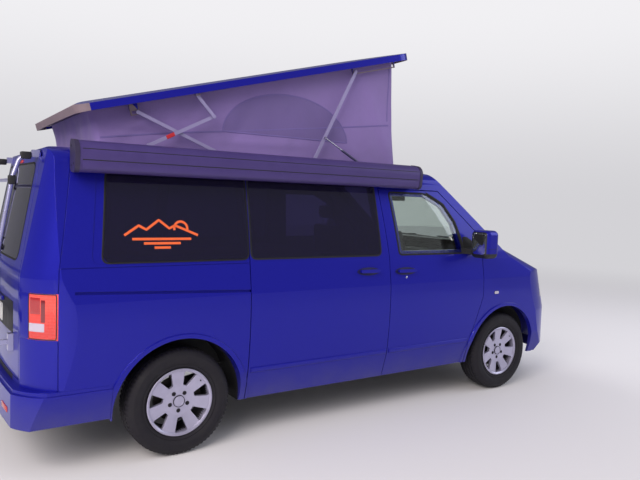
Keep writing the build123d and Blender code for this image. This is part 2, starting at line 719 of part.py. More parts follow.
front_bumper = front & bumper_cut
intake_y, intake_low, intake_high = INTAKE
front_bumper = front_bumper - box(LAMP_REAR_X, 2600, -intake_y, intake_y, intake_low, intake_high)
save("front_bumper", front_bumper)
save("headlamps", both(front & lamp_cut))
grille = front & grille_cut
for index in range(GRILLE_SLOTS):
    low = GRILLE_LOW_Z + 26 + index * GRILLE_PITCH
    grille = grille - box(2000, 2600, -LAMP_INNER_Y + 24, LAMP_INNER_Y - 24, low, low + GRILLE_SLOT)
save("grille", grille)
wing = (front & right) - bumper_cut - lamp_cut - grille_cut - bonnet_zone
wing = wing - box(FIREWALL_X - 1, FIREWALL_X + FIREWALL_T, -836, 836, 0, PILLAR_FOOT_Z)
wing = wing - box(SIDE_FRONT_X - 2, PILLAR_FOOT_X, -1100, 0, PILLAR_FOOT_Z, 1500)
wing = wing - box(COWL_REAR_X, BONNET_REAR_X - GAP, -PILLAR_Y, PILLAR_Y, PILLAR_FOOT_Z, 1500)
save("front_wings", both(wing))

# Tailgate and its glass
tailgate_zone = end_prism(tailgate_outline(), -2700, HINGE_X - GAP)
tail_skin = plain - Pos(GLASS_T * 1.02, 0, 0) * plain
tail_recess = plain - Pos((GLASS_T + SEAT) * 1.02, 0, 0) * plain
tail_window = polygon([(-592, 1238), (-548, 1802), (548, 1802), (592, 1238)], 55)
tailgate = (plain - cabin) & tailgate_zone
tailgate = tailgate - (tail_recess & end_prism(tail_window, -2700, -2200))
tailgate = tailgate - end_prism(offset(tail_window, -FLANGE), -2700, -2200)
leaf = box(HINGE_X - GAP - 4, HINGE_X - SEAT, -460, -390, 1850, 1878)
tailgate = tailgate + leaf + mirrored(leaf)
save("tailgate", tailgate)
save("tailgate_glass", tail_skin & end_prism(offset(tail_window, -SEAT), -2700, -2200))

# Rear bumper and the panel above it, under the tailgate
rear_plan = Pos(-2000, 0) * tail_outline(TAIL_X - REAR_REACH)
step = TAIL_X - REAR_REACH + BUMPER_LEDGE
ledge = plan_prism(Pos(-2000, 0) * tail_outline(step), 400, BUMPER_REAR_Z - SEAT)
rear_bumper = plan_prism(rear_plan, BUMPER_LOW_Z, BUMPER_REAR_Z - BUMPER_LEDGE_H) & section_bar(-5, -5, 0)
rear_bumper = rear_bumper + (ledge & section_bar(0, 0, 0))
hollow_plan = Pos(-2000, 0) * tail_outline(TAIL_X - REAR_REACH + BUMPER_T)
hollow = plan_prism(hollow_plan, 200, 700) & section_bar(60, 60, 0, 200)
rear_bumper = (rear_bumper - hollow) & box(-2700, BUMPER_REAR_X - SEAT, -1100, 1100, 200, 700)
rear_bumper = rear_bumper - arch_bore(REAR_AXLE, HOUSE_Y_REAR) - mirrored(arch_bore(REAR_AXLE, HOUSE_Y_REAR))
save("rear_bumper", rear_bumper)
tail_panel = wall & box(-2600, -2300, -TAIL_POST_Y, TAIL_POST_Y, 330, TAILGATE_LOW - GAP)
tail_panel = tail_panel - plan_prism(rear_plan, 200, BUMPER_REAR_Z + SEAT) + (tail_panel & hollow)
save("tail_panel", tail_panel)

# Floor with its rear wheel houses, and the front wheel liners
floor_low = FLOOR_TOP - FLOOR_T
floor_pan = box(-2365, FIREWALL_X, -FLOOR_Y, FLOOR_Y, floor_low, FLOOR_TOP) & tail_block(TAILGATE_T + SEAT)
for sign in (-1, 1):
    rail_y = sorted(sign * y for y in RAIL_Y)
    floor_pan = floor_pan + box(-RAIL_X, RAIL_X, rail_y[0], rail_y[1], SILL_Z, floor_low + 5)
house = y_rod(REAR_AXLE, HUB_Z, ARCH_R + LINER_T, -FLOOR_Y, LINER_T - HOUSE_Y_REAR)
house = house & box(-2600, 2600, -1100, 0, FLOOR_TOP - FLOOR_T, 2000)
bore = y_rod(REAR_AXLE, HUB_Z, ARCH_R, -1100, -HOUSE_Y_REAR)
floor_pan = floor_pan + house + mirrored(house) - bore - mirrored(bore) - liner_bore - mirrored(liner_bore)
save("floor_pan", floor_pan)
liner = y_rod(FRONT_AXLE, HUB_Z, ARCH_R + LINER_T, -LINER_OUT_Y, LINER_T - HOUSE_Y_FRONT)
liner = liner - y_rod(FRONT_AXLE, HUB_Z, ARCH_R, -1100, -HOUSE_Y_FRONT)
liner = liner & box(-2600, 2600, -1100, 1100, 330, 2000)
liner = liner - box(1330, 1670, -1100, 1100, 200, 500)
liner = liner & section_bar(WALL_T + 2, WALL_T + 2, 0, 200)
save("front_liners", both(liner))


def tyre():
    """Road tyre, turned about the y axis."""
    half = TYRE_W / 2
    bead = RIM_W / 2 - 12
    flat = TREAD_W / 2
    lines = [
        Line((RIM_R - 9.7, -bead), (RIM_R - 9.7, bead)),
        Line((RIM_R - 9.7, bead), (RIM_R + 2, bead + 2)),
        ThreePointArc((RIM_R + 2, bead + 2), (272, half), (TYRE_R - 20, flat + 8)),
        ThreePointArc((TYRE_R - 20, flat + 8), (TYRE_R - 6, flat - 2), (TYRE_R, flat - 18)),
        Line((TYRE_R, flat - 18), (TYRE_R, 18 - flat)),
        ThreePointArc((TYRE_R, 18 - flat), (TYRE_R - 6, 2 - flat), (TYRE_R - 20, -flat - 8)),
        ThreePointArc((TYRE_R - 20, -flat - 8), (272, -half), (RIM_R + 2, -bead - 2)),
        Line((RIM_R + 2, -bead - 2), (RIM_R - 9.7, -bead)),
    ]
    return revolve(make_face(lines), Axis.Y)


def rim():
    """Seven-spoke wheel with its outer face towards -y."""
    half = RIM_W / 2
    barrel = polygon([
        (RIM_R, half), (RIM_R - 10, half - 4), (RIM_R - 10, 10 - half + 1), (RIM_R, -half),
        (RIM_R - 8, -half - 3), (RIM_R - 20, 4 - half), (RIM_R - 22, half - 6), (RIM_R - 8, half + 3)])
    wheel = revolve(barrel, Axis.Y)
    dish = polygon([
        (0, -62), (HUB_R + 30, -62), (RIM_R - 12, -82), (RIM_R - 12, -60), (HUB_R + 30, -36), (0, -36)])
    near, far, narrow, wide = RIM_WINDOW
    window = polygon([(near, -narrow), (far, -wide), (far, wide), (near, narrow)], 9)
    disc = revolve(dish, Axis.Y) + side_prism(Circle(HUB_R + 16), -62, -22)
    for index in range(SPOKES):
        turn = SPOKE_PHASE + (index + 0.5) * 360 / SPOKES
        disc = disc - side_prism(Rot(0, 0, turn) * window, -95, -20)
    for index in range(BOLTS):
        turn = radians(index * 360 / BOLTS - 92)
        hole = Pos(BOLT_RING_R * cos(turn), BOLT_RING_R * sin(turn)) * Circle(BOLT_HOLE_R)
        disc = disc - side_prism(hole, -95, -20)
    wheel = wheel + disc + side_prism(Circle(HUB_CAP_R), -68, -60)
    return wheel - side_prism(Circle(STUB_R + FIT), -50, 200)


# Wheels
tyre_right = tyre()
rim_right = rim()
for end, axle in (("front", FRONT_AXLE), ("rear", REAR_AXLE)):
    place = Pos(axle, -TRACK / 2, HUB_Z)
    for name, shape in (("tyre", tyre_right), ("rim", rim_right)):
        save(name + "_" + end + "_right", place * shape)
        save(name + "_" + end + "_left", mirrored(place * shape))


def rod_between(a, b, radius):
    """Round bar between two points."""
    way = Vector(*b) - Vector(*a)
    return extrude(Plane(origin=a, z_dir=way) * Circle(radius), way.length)


# Front knuckle: a post on the kingpin line, the hub carrier and its stub axle
stub_end = TRACK / 2 + 48
knuckle = Pos(FRONT_AXLE, -KINGPIN_Y, HUB_Z) * Cylinder(22, 236)
knuckle = knuckle + y_rod(FRONT_AXLE, HUB_Z, 52, -KINGPIN_Y - 40, -KINGPIN_Y + 34)
knuckle = knuckle + y_rod(FRONT_AXLE, HUB_Z, STUB_R, -stub_end, -KINGPIN_Y)
save("knuckle_right", knuckle)
save("knuckle_left", mirrored(knuckle))

# Front suspension: cross-member, wishbones and spring struts, with eyes round the knuckle posts
suspension = box(1430, 1570, -430, 430, 226, SILL_Z - 4)
for sign in (-1, 1):
    suspension = suspension + box(1540, 1660, sign * 180 - 25, sign * 180 + 25, 240, SILL_Z - 4)
    suspension = suspension + box(1610, 1660, sign * 180 - 25, sign * 180 + 25, 240, 400)
eye_gap = Pos(FRONT_AXLE, -KINGPIN_Y, HUB_Z) * Cylinder(22 + FIT, 260)
for sign in (-1, 1):
    lower = polygon([(1420, 400), (1580, 400), (1530, 660), (1530, 700), (1470, 700), (1470, 660)])
    lower = plan_prism(lower, 228, 256) + Pos(FRONT_AXLE, KINGPIN_Y, 242) * Cylinder(36, 28)
    upper = plan_prism(polygon([(1480, 440), (1540, 440), (1526, 690), (1474, 690)]), 428, 450)
    upper = upper + Pos(FRONT_AXLE, KINGPIN_Y, 439) * Cylinder(34, 22)
    strut = Pos(STRUT_X, STRUT_Y, 560) * Cylinder(36, 620)
    strut = strut + Pos(STRUT_X, STRUT_Y, 700) * Cylinder(46, 200)
    arm = (lower + upper + strut) - mirrored(eye_gap)
    suspension = suspension + (arm if sign > 0 else mirrored(arm))
save("front_suspension", suspension)

# Rear axle: cross tube, trailing arms and stub axles
arm = polygon([(-1150, 400), (-1050, 300), (-980, 300), (-1120, 520), (-1400, 640), (-1560, 640), (-1560, 590)])
axle = plan_prism(arm, 300, 372)
axle = axle + y_rod(REAR_AXLE, HUB_Z, STUB_R, 600, TRACK / 2 + 48)
axle = axle + y_rod(REAR_AXLE, HUB_Z, 50, 600, 690)
axle = axle + mirrored(axle) + y_rod(-1030, 336, 44, -330, 330)
for sign in (-1, 1):
    axle = axle + Pos(-1400, sign * 560, 425) * Cylinder(50, 130)
save("rear_axle", axle)

# Engine, tank and exhaust under the floor
engine_rear = FIREWALL_X + FIREWALL_T + 122
save("engine_block", box(engine_rear, FRONT_REACH - 288, -380, 380, 400, 880))
tank = box(120, 860, -560, 120, 290, FLOOR_TOP - FLOOR_T)
save("fuel_tank", fillet(tank.edges().filter_by(Axis.Z), 60))
exhaust = None
for (start, end, radius) in EXHAUST:
    run = rod_between(start, end, radius) + Pos(*start) * Sphere(radius if radius < 50 else 24)
    exhaust = run if exhaust is None else exhaust + run
for x in (700, -600, -1900):
    exhaust = exhaust + box(x - 15, x + 15, 262, 298, 400, FLOOR_TOP - FLOOR_T)
save("exhaust", exhaust)


def shell_outline():
    """Roof shell seen from above, in its own frame with x = 0 at its rear edge."""
    nose = SHELL_LENGTH
    wide = SHELL_Y
    slim = SHELL_Y - SHELL_TAPER
    lines = [
        ThreePointArc((90, -wide), (30, -wide + 30), (8, -wide + 110)),
        ThreePointArc((8, wide - 110), (30, wide - 30), (90, wide)),
        ThreePointArc((8, -wide + 110), (0, 0), (8, wide - 110)),
        Line((90, wide), (nose - 190, slim)),
        ThreePointArc((nose - 190, slim), (nose - 90, slim - 40), (nose - 34, slim - 150)),
        ThreePointArc((nose - 34, slim - 150), (nose, 0), (nose - 34, 150 - slim)),
        ThreePointArc((nose - 34, 150 - slim), (nose - 90, 40 - slim), (nose - 190, -slim)),
        Line((nose - 190, -slim), (90, -wide)),
    ]
    return make_face(lines)


def shell_block(drop, low):
    """Solid form of the roof shell, its top lowered by drop and its foot at low."""
    rim_top = SHELL_RIM - drop
    crown = SHELL_RIM + SHELL_CROWN - drop
    section = make_face([
        Line((-800, low), (800, low)), Line((800, low), (800, rim_top - 8)),
        ThreePointArc((800, rim_top - 8), (0, crown), (-800, rim_top - 8)),
        Line((-800, rim_top - 8), (-800, low))])
    nose = SHELL_LENGTH
    profile = make_face([
        Line((-50, low), (nose + 60, low)), Line((nose + 60, low), (nose - 4, 4 - drop)),
        Line((nose - 4, 4 - drop), (nose - 74, rim_top + 12)),
        ThreePointArc((nose - 74, rim_top + 12), (nose / 2, crown + 6), (240, crown - 12)),
        ThreePointArc((240, crown - 12), (100, crown - 24), (-50, rim_top - 14)),
        Line((-50, rim_top - 14), (-50, low))])
    plan = shell_outline()
    if drop:
        plan = offset(plan, -drop)
    block = plan_prism(plan, low, 200) & end_prism(section, -100, SHELL_LENGTH + 100)
    return block & side_prism(profile, -900, 900)


def shell_point(s, h):
    """Place in x and z of a point s along the shell and h above its rim, raised."""
    tilt = radians(ROOF_TILT)
    x, z = SHELL_REAR
    return (x + s * cos(tilt) - h * sin(tilt), z + s * sin(tilt) + h * cos(tilt))


def on_circle(foot, length, angle):
    """Point at a distance and an angle in degrees from a foot."""
    return (foot[0] + length * cos(radians(angle)), foot[1] + length * sin(radians(angle)))


def flat_bar(a, b, plane, height=BAR_H):
    """Flat bar between two pins in x and z, with round ends, in one plane across the van."""
    length = ((b[0] - a[0]) ** 2 + (b[1] - a[1]) ** 2) ** 0.5
    angle = degrees(atan2(b[1] - a[1], b[0] - a[0]))
    outline = Pos(length / 2, 0) * SlotCenterToCenter(length, height)
    outline = outline + Circle(EYE_R) + Pos(length, 0) * Circle(EYE_R)
    return side_prism(Pos(*a) * Rot(0, 0, angle) * outline, -plane - BAR_T, -plane)


def pin(at, inner, outer_plane):
    """Cross pin from one plane to another."""
    return y_rod(at[0], at[1], PIN_R, -outer_plane, -inner)


def pin_hole(at):
    """Running hole for a cross pin."""
    return y_rod(at[0], at[1], PIN_R + FIT, -800, -500)


# Rising roof: shell, headliner, lugs and rails
shell_place = Pos(SHELL_REAR[0], 0, SHELL_REAR[1]) * Rot(0, -ROOF_TILT, 0)
inner_shell = shell_block(SHELL_T, -80)
shell = shell_block(0, 0) - inner_shell
filled = shell_block(SHELL_T * 0.5, -80)
headliner = box(70, SHELL_LENGTH - 150, -HEADLINER_Y, HEADLINER_Y, HEADLINER_H, 200) & filled
headliner = headliner - box(82, SHELL_LENGTH - 162, 12 - HEADLINER_Y, HEADLINER_Y - 12, HEADLINER_H + 12, 200)
shell = shell + headliner
lugs = [
    (PLANE_LUG, ARM_HEAD, ARM_SLOT),
    (PLANE_OUTER_LUG, KNEE_HEAD, KNEE_SLOT),
]
for plane, (s, h), (back, fore, low, high) in lugs:
    lug = box(s + back - 9, s + fore + 9, -plane - BAR_T, -plane, h + low - 6, 120)
    lug = lug & shell_block(SHELL_T * 0.5, -120)
    shell = shell + lug + mirrored(lug)
    slot = box(s + back, s + fore, -plane - 2 * BAR_T, BAR_T - plane, h + low, h + high)
    shell = shell - slot - mirrored(slot)
rail = box(RAIL_S[0] - 14, RAIL_S[1] + 14, -PLANE_LUG - BAR_T, -PLANE_LUG, RAIL_H[0] - 8, 120)
rail = rail & shell_block(SHELL_T * 0.5, -120)
shell = shell + rail + mirrored(rail)
slot = box(RAIL_S[0], RAIL_S[1], -PLANE_LUG - 2 * BAR_T, BAR_T - PLANE_LUG, *RAIL_H)
shell = shell - slot - mirrored(slot)
shell = shell_place * shell
save("roof_shell", shell)

arm_head = shell_point(*ARM_HEAD)
knee_head = shell_point(*KNEE_HEAD)
lever_head = on_circle(LEVER_FOOT, LEVER_LENGTH, LEVER_ANGLE)
front_head = on_circle(FRONT_FOOT, FRONT_LENGTH, FRONT_ANGLE)
strut_head = on_circle(FRONT_FOOT, STRUT_ON_ARM, FRONT_ANGLE)

rear_arm = flat_bar(ARM_FOOT, arm_head, PLANE_ARM) + pin(arm_head, PLANE_LUG - 2, PLANE_ARM + BAR_T)
rear_arm = rear_arm - pin_hole(ARM_FOOT)
lever = flat_bar(LEVER_FOOT, lever_head, PLANE_LEVER) - pin_hole(LEVER_FOOT)
lever = lever + pin(lever_head, PLANE_LEVER, PLANE_KNEE + BAR_T + 2)
knee = flat_bar(lever_head, knee_head, PLANE_KNEE) - pin_hole(lever_head)
knee = knee + pin(knee_head, PLANE_KNEE, PLANE_OUTER_LUG + BAR_T + 1)
front_arm = flat_bar(FRONT_FOOT, front_head, PLANE_ARM, 26) - pin_hole(FRONT_FOOT)
front_arm = front_arm + pin(front_head, PLANE_LUG - 2, PLANE_ARM + BAR_T)
front_arm = front_arm + pin(strut_head, PLANE_ARM, PLANE_LEVER + 12)
strut_y = PLANE_LEVER + 6
strut_angle = atan2(strut_head[1] - STRUT_FOOT[1], strut_head[0] - STRUT_FOOT[0])
strut_way = (cos(strut_angle), sin(strut_angle))


def strut_piece(origin, start, end, radius, bore=0.0):
    """Stretch of the gas strut, measured along its line from one of its pins."""
    a = (origin[0] + start * strut_way[0], -strut_y, origin[1] + start * strut_way[1])
    b = (origin[0] + end * strut_way[0], -strut_y, origin[1] + end * strut_way[1])
    piece = rod_between(a, b, radius)
    return piece - rod_between(a, b, bore) if bore else piece


strut_tube = strut_piece(STRUT_FOOT, 14, STRUT_TUBE_L, STRUT_R)
strut_tube = strut_tube - strut_piece(STRUT_FOOT, 26, STRUT_TUBE_L + 5, STRUT_BORE_R)
strut_tube = strut_tube + y_rod(STRUT_FOOT[0], STRUT_FOOT[1], EYE_R, -strut_y - 4, -strut_y + 4)
strut_tube = strut_tube + strut_piece(STRUT_FOOT, 8, 20, 6) - pin_hole(STRUT_FOOT)
strut_rod = strut_piece(strut_head, -STRUT_ROD_L, -8, STRUT_ROD_R)
strut_rod = strut_rod + y_rod(strut_head[0], strut_head[1], ROD_EYE_R, -strut_y - 4, -strut_y + 4)
strut_rod = strut_rod - pin_hole(strut_head)
save("rear_arms", both(rear_arm))
save("rear_levers", both(lever))
save("knee_links", both(knee))
save("front_arms", both(front_arm))
save("strut_tubes", both(strut_tube))
save("strut_rods", both(strut_rod))

# Feet of the bars, screwed to the roof trough
# Each foot's pin, the ear's two faces, the pin's two ends and the plate's two edges
feet = None
for at, ear_y, pin_y, plate_y in (
        (ARM_FOOT, PLANE_ARM - EAR_GAP, PLANE_ARM + BAR_T + 1, (636, 658)),
        (LEVER_FOOT, PLANE_LEVER - EAR_GAP, PLANE_LEVER + BAR_T + 1, (650, 672)),
        (FRONT_FOOT, PLANE_ARM - EAR_GAP, PLANE_ARM + BAR_T + 1, (636, 658)),
        (STRUT_FOOT, strut_y + STRUT_R + EAR_GAP + EAR_T, strut_y - 6, (667, 692))):
    ear = box(at[0] - EYE_R, at[0] + EYE_R, -ear_y, EAR_T - ear_y, TROUGH_Z, at[1])
    ear = ear + y_rod(at[0], at[1], EYE_R, -ear_y, EAR_T - ear_y)
    ends = sorted((-pin_y, EAR_T - ear_y if pin_y > ear_y else -ear_y))
    ear = ear + y_rod(at[0], at[1], PIN_R, ends[0], ends[1])
    ear = ear + box(at[0] - FOOT_L, at[0] + FOOT_L, -plate_y[1], -plate_y[0], TROUGH_Z, TROUGH_Z + 6)
    feet = ear if feet is None else feet + ear
save("bar_feet", both(feet))

# Tent between the coaming and the headliner
slope = sin(radians(ROOF_TILT)) / cos(radians(ROOF_TILT))


def headliner_z(x):
    """Height of the headliner's underside at x, less the seat."""
    return SHELL_REAR[1] + (x - SHELL_REAR[0]) * slope + HEADLINER_H / cos(radians(ROOF_TILT)) - SEAT


foot_z = COAMING_Z + SEAT
rear_x = ROOF_HOLE_X - ROOF_HOLE_L / 2 - COAMING_T + 8
front_x = ROOF_HOLE_X + ROOF_HOLE_L / 2 + COAMING_T - 8
tent_side = polygon([
    (rear_x, foot_z), (front_x, foot_z), (front_x - 62, 2280), (front_x - 66, headliner_z(front_x - 66)),
    (-2012, headliner_z(-2012)), (-2000, 2040)])
tent = side_prism(tent_side, -TENT_Y, TENT_Y)
void = polygon([
    (rear_x + TENT_T, foot_z - 50), (front_x - TENT_T, foot_z - 50), (front_x - TENT_T, foot_z),
    (front_x - 62 - TENT_T, 2280), (front_x - 66 - TENT_T, 2900), (-2012 + TENT_T, 2900),
    (-2012 + TENT_T, 2120), (-2000 + TENT_T, 2040), (rear_x + TENT_T, foot_z)])
tent = tent - side_prism(void, -TENT_Y + TENT_T, TENT_Y - TENT_T)
save("tent", tent)

# Awning case, its end caps and brackets
y0, y1 = AWNING_Y
z0, z1 = AWNING_Z
case = make_face([
    Line((-y0, z0 + 26), (-y0, z1 - 22)), ThreePointArc((-y0, z1 - 22), (-y0 - 12, z1 - 4), (-y0 - 34, z1)),
    Line((-y0 - 34, z1), (-y1 + 52, z1 - 8)),
    ThreePointArc((-y1 + 52, z1 - 8), (-y1 + 16, z1 - 30), (-y1, z1 - 78)),
    Line((-y1, z1 - 78), (-y1 + 6, z0 + 34)),
    ThreePointArc((-y1 + 6, z0 + 34), (-y1 + 20, z0 + 8), (-y1 + 46, z0)),
    Line((-y1 + 46, z0), (-y0 - 26, z0 + 6)), Line((-y0 - 26, z0 + 6), (-y0, z0 + 26))])
awning = end_prism(case, AWNING_X[0] + 26, AWNING_X[1] - 26)
cap = offset(case, 3)
awning = awning + end_prism(cap, AWNING_X[0], AWNING_X[0] + 26) + end_prism(cap, AWNING_X[1] - 26, AWNING_X[1])
save("awning", awning)
brackets = None
for x in (AWNING_X[0] + 250, (AWNING_X[0] + AWNING_X[1]) / 2, AWNING_X[1] - 250):
    bracket = box(x - 45, x + 45, -y0, -740, 1810, 1868) + box(x - 45, x + 45, -y0, -y0 + 10, 1790, z1 - 30)
    brackets = bracket if brackets is None else brackets + bracket
brackets = brackets - section_bar(-SEAT, -SEAT, -SEAT)
save("awning_brackets", brackets)

# Bicycle rack on the tailgate, its platform folded up
rack_path = [
    (-2288, 1862), (RACK_X + 155, 1828), (RACK_X + 118, 1720), (RACK_X + 52, 1340), (RACK_X, 1000), (RACK_X, 700)]


def tube_path(points, y, radius):
    """Bent tube in one plane across the van."""
    line = FilletPolyline(*[(x, y, z) for x, z in points], radius=45)
    start = Plane(origin=line @ 0, z_dir=line % 0)
    return sweep(start * Circle(radius), path=line)


def rack_x(z):
    """Middle of the rack's side tube at a height."""
    for (x0, z0), (x1, z1) in zip(rack_path, rack_path[1:]):
        if z1 <= z <= z0:
            return x0 + (x1 - x0) * (z0 - z) / (z0 - z1)
    return rack_path[-1][0]


rack = tube_path(rack_path, -RACK_Y, RACK_TUBE_R) + tube_path(rack_path, RACK_Y, RACK_TUBE_R)
for z in (1700, 1170, 760):
    rack = rack + y_rod(rack_x(z), z, RACK_TUBE_R - 2, -RACK_Y, RACK_Y)
for sign in (-1, 1):
    y = sign * RACK_Y
    rack = rack + box(-2310, -2262, y - 22, y + 22, 1838, 1880)
    rack = rack + box(RACK_X, -2420, y - 10, y + 10, 736, 764) + box(-2438, -2400, y - 24, y + 24, 700, 800)
for z in (860, 1000):
    channel = box(RACK_X - 55, RACK_X - 10, -640, 640, z, z + 60)
    channel = channel - box(RACK_X - 60, RACK_X - 16, -650, 650, z + 6, z + 54)
    clip = box(RACK_X - 18, RACK_X + 4, -RACK_Y - 12, -RACK_Y + 12, z + 10, z + 50)
    rack = rack + channel + clip + mirrored(clip)
rack = rack - Pos(-SEAT, 0, 0) * plain
save("bike_rack", rack)

# Mirrors on the front doors
mirror_head = Pos(1040, -1075, 1322) * Box(150, 190, 232)
mirror_head = fillet(mirror_head.edges(), 42)
mirror_foot = polygon([(960, -1010), (1120, -1010), (1150, -860), (930, -860)])
mirror_foot = plan_prism(mirror_foot, 1232, 1278) - section_bar(-SEAT, -SEAT, 0)
mirror_right = mirror_head + mirror_foot
save("mirror_right", mirror_right)
save("mirror_left", mirrored(mirror_right))

# Cabin: dashboard, steering wheel, seats, bench and kitchen
dash = polygon([
    (FIREWALL_X - 0.5, 900), (FIREWALL_X - 0.5, 1160), (1330, 1190), (1180, 1130), (1130, 1020), (1200, 900)], 18)
dashboard = side_prism(dash, -780, 780)
column_a = (1180, 400, 1030)
column_b = (1010, 400, 1120)
dashboard = dashboard + rod_between(column_a, column_b, 34)
save("dashboard", dashboard)
way = (Vector(*column_b) - Vector(*column_a)).normalized()
wheel_plane = Plane(origin=Vector(*column_b) + way * 1, z_dir=way)
wheel = Pos(0, 0, 16) * Torus(185, 14) + Pos(0, 0, 14) * Cylinder(60, 28)
for angle in (0, 120, 240):
    wheel = wheel + Rot(0, 0, angle + 30) * (Pos(110, 0, 14) * Box(130, 30, 12))
save("steering_wheel", wheel_plane * wheel)


def seat(x, y, width):
    """Seat with its base, cushion, back and headrest."""
    base = box(x + 60, x + 480, y - width / 2 + 40, y + width / 2 - 40, FLOOR_TOP, FLOOR_TOP + 240)
    cushion = box(x + 20, x + 540, y - width / 2, y + width / 2, FLOOR_TOP + 240, FLOOR_TOP + 370)
    low = FLOOR_TOP + 370
    back = polygon([(x - 20, low - 60), (x + 110, low - 60), (x + 10, 1430), (x - 90, 1430)], 30)
    back = side_prism(back, y - width / 2 + 10, y + width / 2 - 10)
    head = polygon([(x - 80, 1460), (x, 1460), (x - 12, 1600), (x - 90, 1600)], 24)
    head = side_prism(head, y - 125, y + 125)
    posts = box(x - 52, x - 38, y - 60, y - 48, 1420, 1480) + box(x - 52, x - 38, y + 48, y + 60, 1420, 1480)
    return base, cushion + back + posts + head


seats = None
for y in (-430, 430):
    base, soft = seat(520, y, 520)
    seats = base + soft if seats is None else seats + base + soft
save("front_seats", seats)
bench_base = box(-1750, -1270, -620, 330, FLOOR_TOP, FLOOR_TOP + 230)
bench = box(-1780, -1180, -620, 330, FLOOR_TOP + 230, FLOOR_TOP + 390)
bench_back = polygon([(-1780, 860), (-1640, 860), (-1740, 1420), (-1860, 1420)], 40)
bench = bench + side_prism(bench_back, -620, 330)
save("rear_bench", bench_base + bench)
house = y_rod(REAR_AXLE, HUB_Z, ARCH_R + LINER_T + SEAT, 600, 900)
kitchen = box(-1700, 60, 440, 780, FLOOR_TOP, 1180) - house
save("kitchen_unit", kitchen)
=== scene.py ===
"""A camper van with a rising roof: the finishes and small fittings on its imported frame."""

import logging
import math
from collections.abc import Callable, Iterable, Sequence
from dataclasses import dataclass, field
from enum import Enum

import bmesh
import bpy
from mathutils import Matrix, Vector
from mathutils.bvhtree import BVHTree


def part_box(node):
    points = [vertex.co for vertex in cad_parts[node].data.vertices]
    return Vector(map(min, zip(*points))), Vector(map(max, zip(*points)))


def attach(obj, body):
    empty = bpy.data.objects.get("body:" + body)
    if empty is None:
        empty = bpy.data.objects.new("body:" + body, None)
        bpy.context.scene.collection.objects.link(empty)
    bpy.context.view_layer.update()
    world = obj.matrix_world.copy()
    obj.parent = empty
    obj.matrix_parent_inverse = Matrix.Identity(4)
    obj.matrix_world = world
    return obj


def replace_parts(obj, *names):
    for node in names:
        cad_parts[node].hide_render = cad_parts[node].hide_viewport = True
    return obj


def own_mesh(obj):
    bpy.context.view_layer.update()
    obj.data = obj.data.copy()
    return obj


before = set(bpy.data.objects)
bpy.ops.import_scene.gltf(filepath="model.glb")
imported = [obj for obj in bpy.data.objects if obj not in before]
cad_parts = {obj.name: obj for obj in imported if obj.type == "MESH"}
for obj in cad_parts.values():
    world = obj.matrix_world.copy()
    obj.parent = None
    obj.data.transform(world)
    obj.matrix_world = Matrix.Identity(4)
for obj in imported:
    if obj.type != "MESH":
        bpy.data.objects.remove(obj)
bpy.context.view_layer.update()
LOG = logging.getLogger("camper")

Tree = bpy.types.NodeTree
Node = bpy.types.Node
Socket = bpy.types.NodeSocket
Item = bpy.types.Object
Pair = tuple[float, float]
Triple = tuple[float, float, float]
Spot = tuple[Vector, Vector]
Block = tuple[Triple, Triple, float]
Cushion = tuple[Pair, Triple, Triple, float]
MM = 0.001
EDGE_SAMPLES = 4


class Side(Enum):
    """Which side of the van a piece is on; its value is the sign of y."""

    RIGHT = -1
    LEFT = 1

    @property
    def word(self) -> str:
        """The side's name as the nodes spell it."""
        return self.name.lower()


def centre(node: str) -> Vector:
    """Return the middle of a CAD node's box."""
    low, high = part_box(node)
    return (low + high) / 2


# The middle of the wheelbase, from which all sizes along the van are measured.
MID_X = (centre("tyre_front_right").x + centre("tyre_rear_right").x) / 2


def at(x: float, y: float, z: float) -> Vector:
    """Return a point from its distance ahead of the middle of the wheelbase."""
    return Vector((x + MID_X, y, z))


def linear(code: str, alpha: float = 1.0) -> tuple[float, float, float, float]:
    """Turn an sRGB hex colour into linear red, green, blue and alpha.

    Args:
        code: the colour as "#rrggbb".
        alpha: the fourth value.

    Returns:
        The four linear values.
    """
    parts = [int(code[i:i + 2], 16) / 255 for i in (1, 3, 5)]
    red, green, blue = [p / 12.92 if p <= 0.04045 else ((p + 0.055) / 1.055) ** 2.4 for p in parts]
    return (red, green, blue, alpha)


def add_node(tree: Tree, kind: str, settings: dict | None = None,
             links: dict | None = None, values: dict | None = None) -> Node:
    """Add one shader node.

    Args:
        tree: the node tree that it goes into.
        kind: its type without the leading "ShaderNode".
        settings: its own properties by name.
        links: output sockets that feed its inputs, by input name or number.
        values: fixed input values by input name or number.

    Returns:
        The new node.
    """
    node = tree.nodes.new("ShaderNode" + kind)
    for key, value in (settings or {}).items():
        setattr(node, key, value)
    for key, value in (values or {}).items():
        node.inputs[key].default_value = value
    for key, socket in (links or {}).items():
        tree.links.new(socket, node.inputs[key])
    return node


def per_metre(size_mm: float) -> float:
    """Return the texture scale at which one repeat measures size_mm."""
    return 1000.0 / size_mm


def wave_scale(size_mm: float) -> float:
    """Return the scale of a wave texture at which one thread or prism measures size_mm."""
    return per_metre(size_mm) / 20.0 * math.pi


def crossed(tree: Tree, place: Socket, size_mm: float, operation: str, distortion: float = 0.0) -> Socket:
    """Cross waves along x and z, such as the threads of a weave or the rows of small prisms.

    Args:
        tree: the node tree that they go into.
        place: the coordinates.
        size_mm: the size of one thread or prism.
        operation: how the two sets are joined.
        distortion: how far they wander.

    Returns:
        The socket with the height.
    """
    waves = [add_node(tree, "TexWave", {"bands_direction": axis}, {"Vector": place},
                      {"Scale": wave_scale(size_mm), "Distortion": distortion}).outputs["Fac"]
             for axis in ("X", "Z")]
    return add_node(tree, "Math", {"operation": operation}, {0: waves[0], 1: waves[1]}).outputs["Value"]


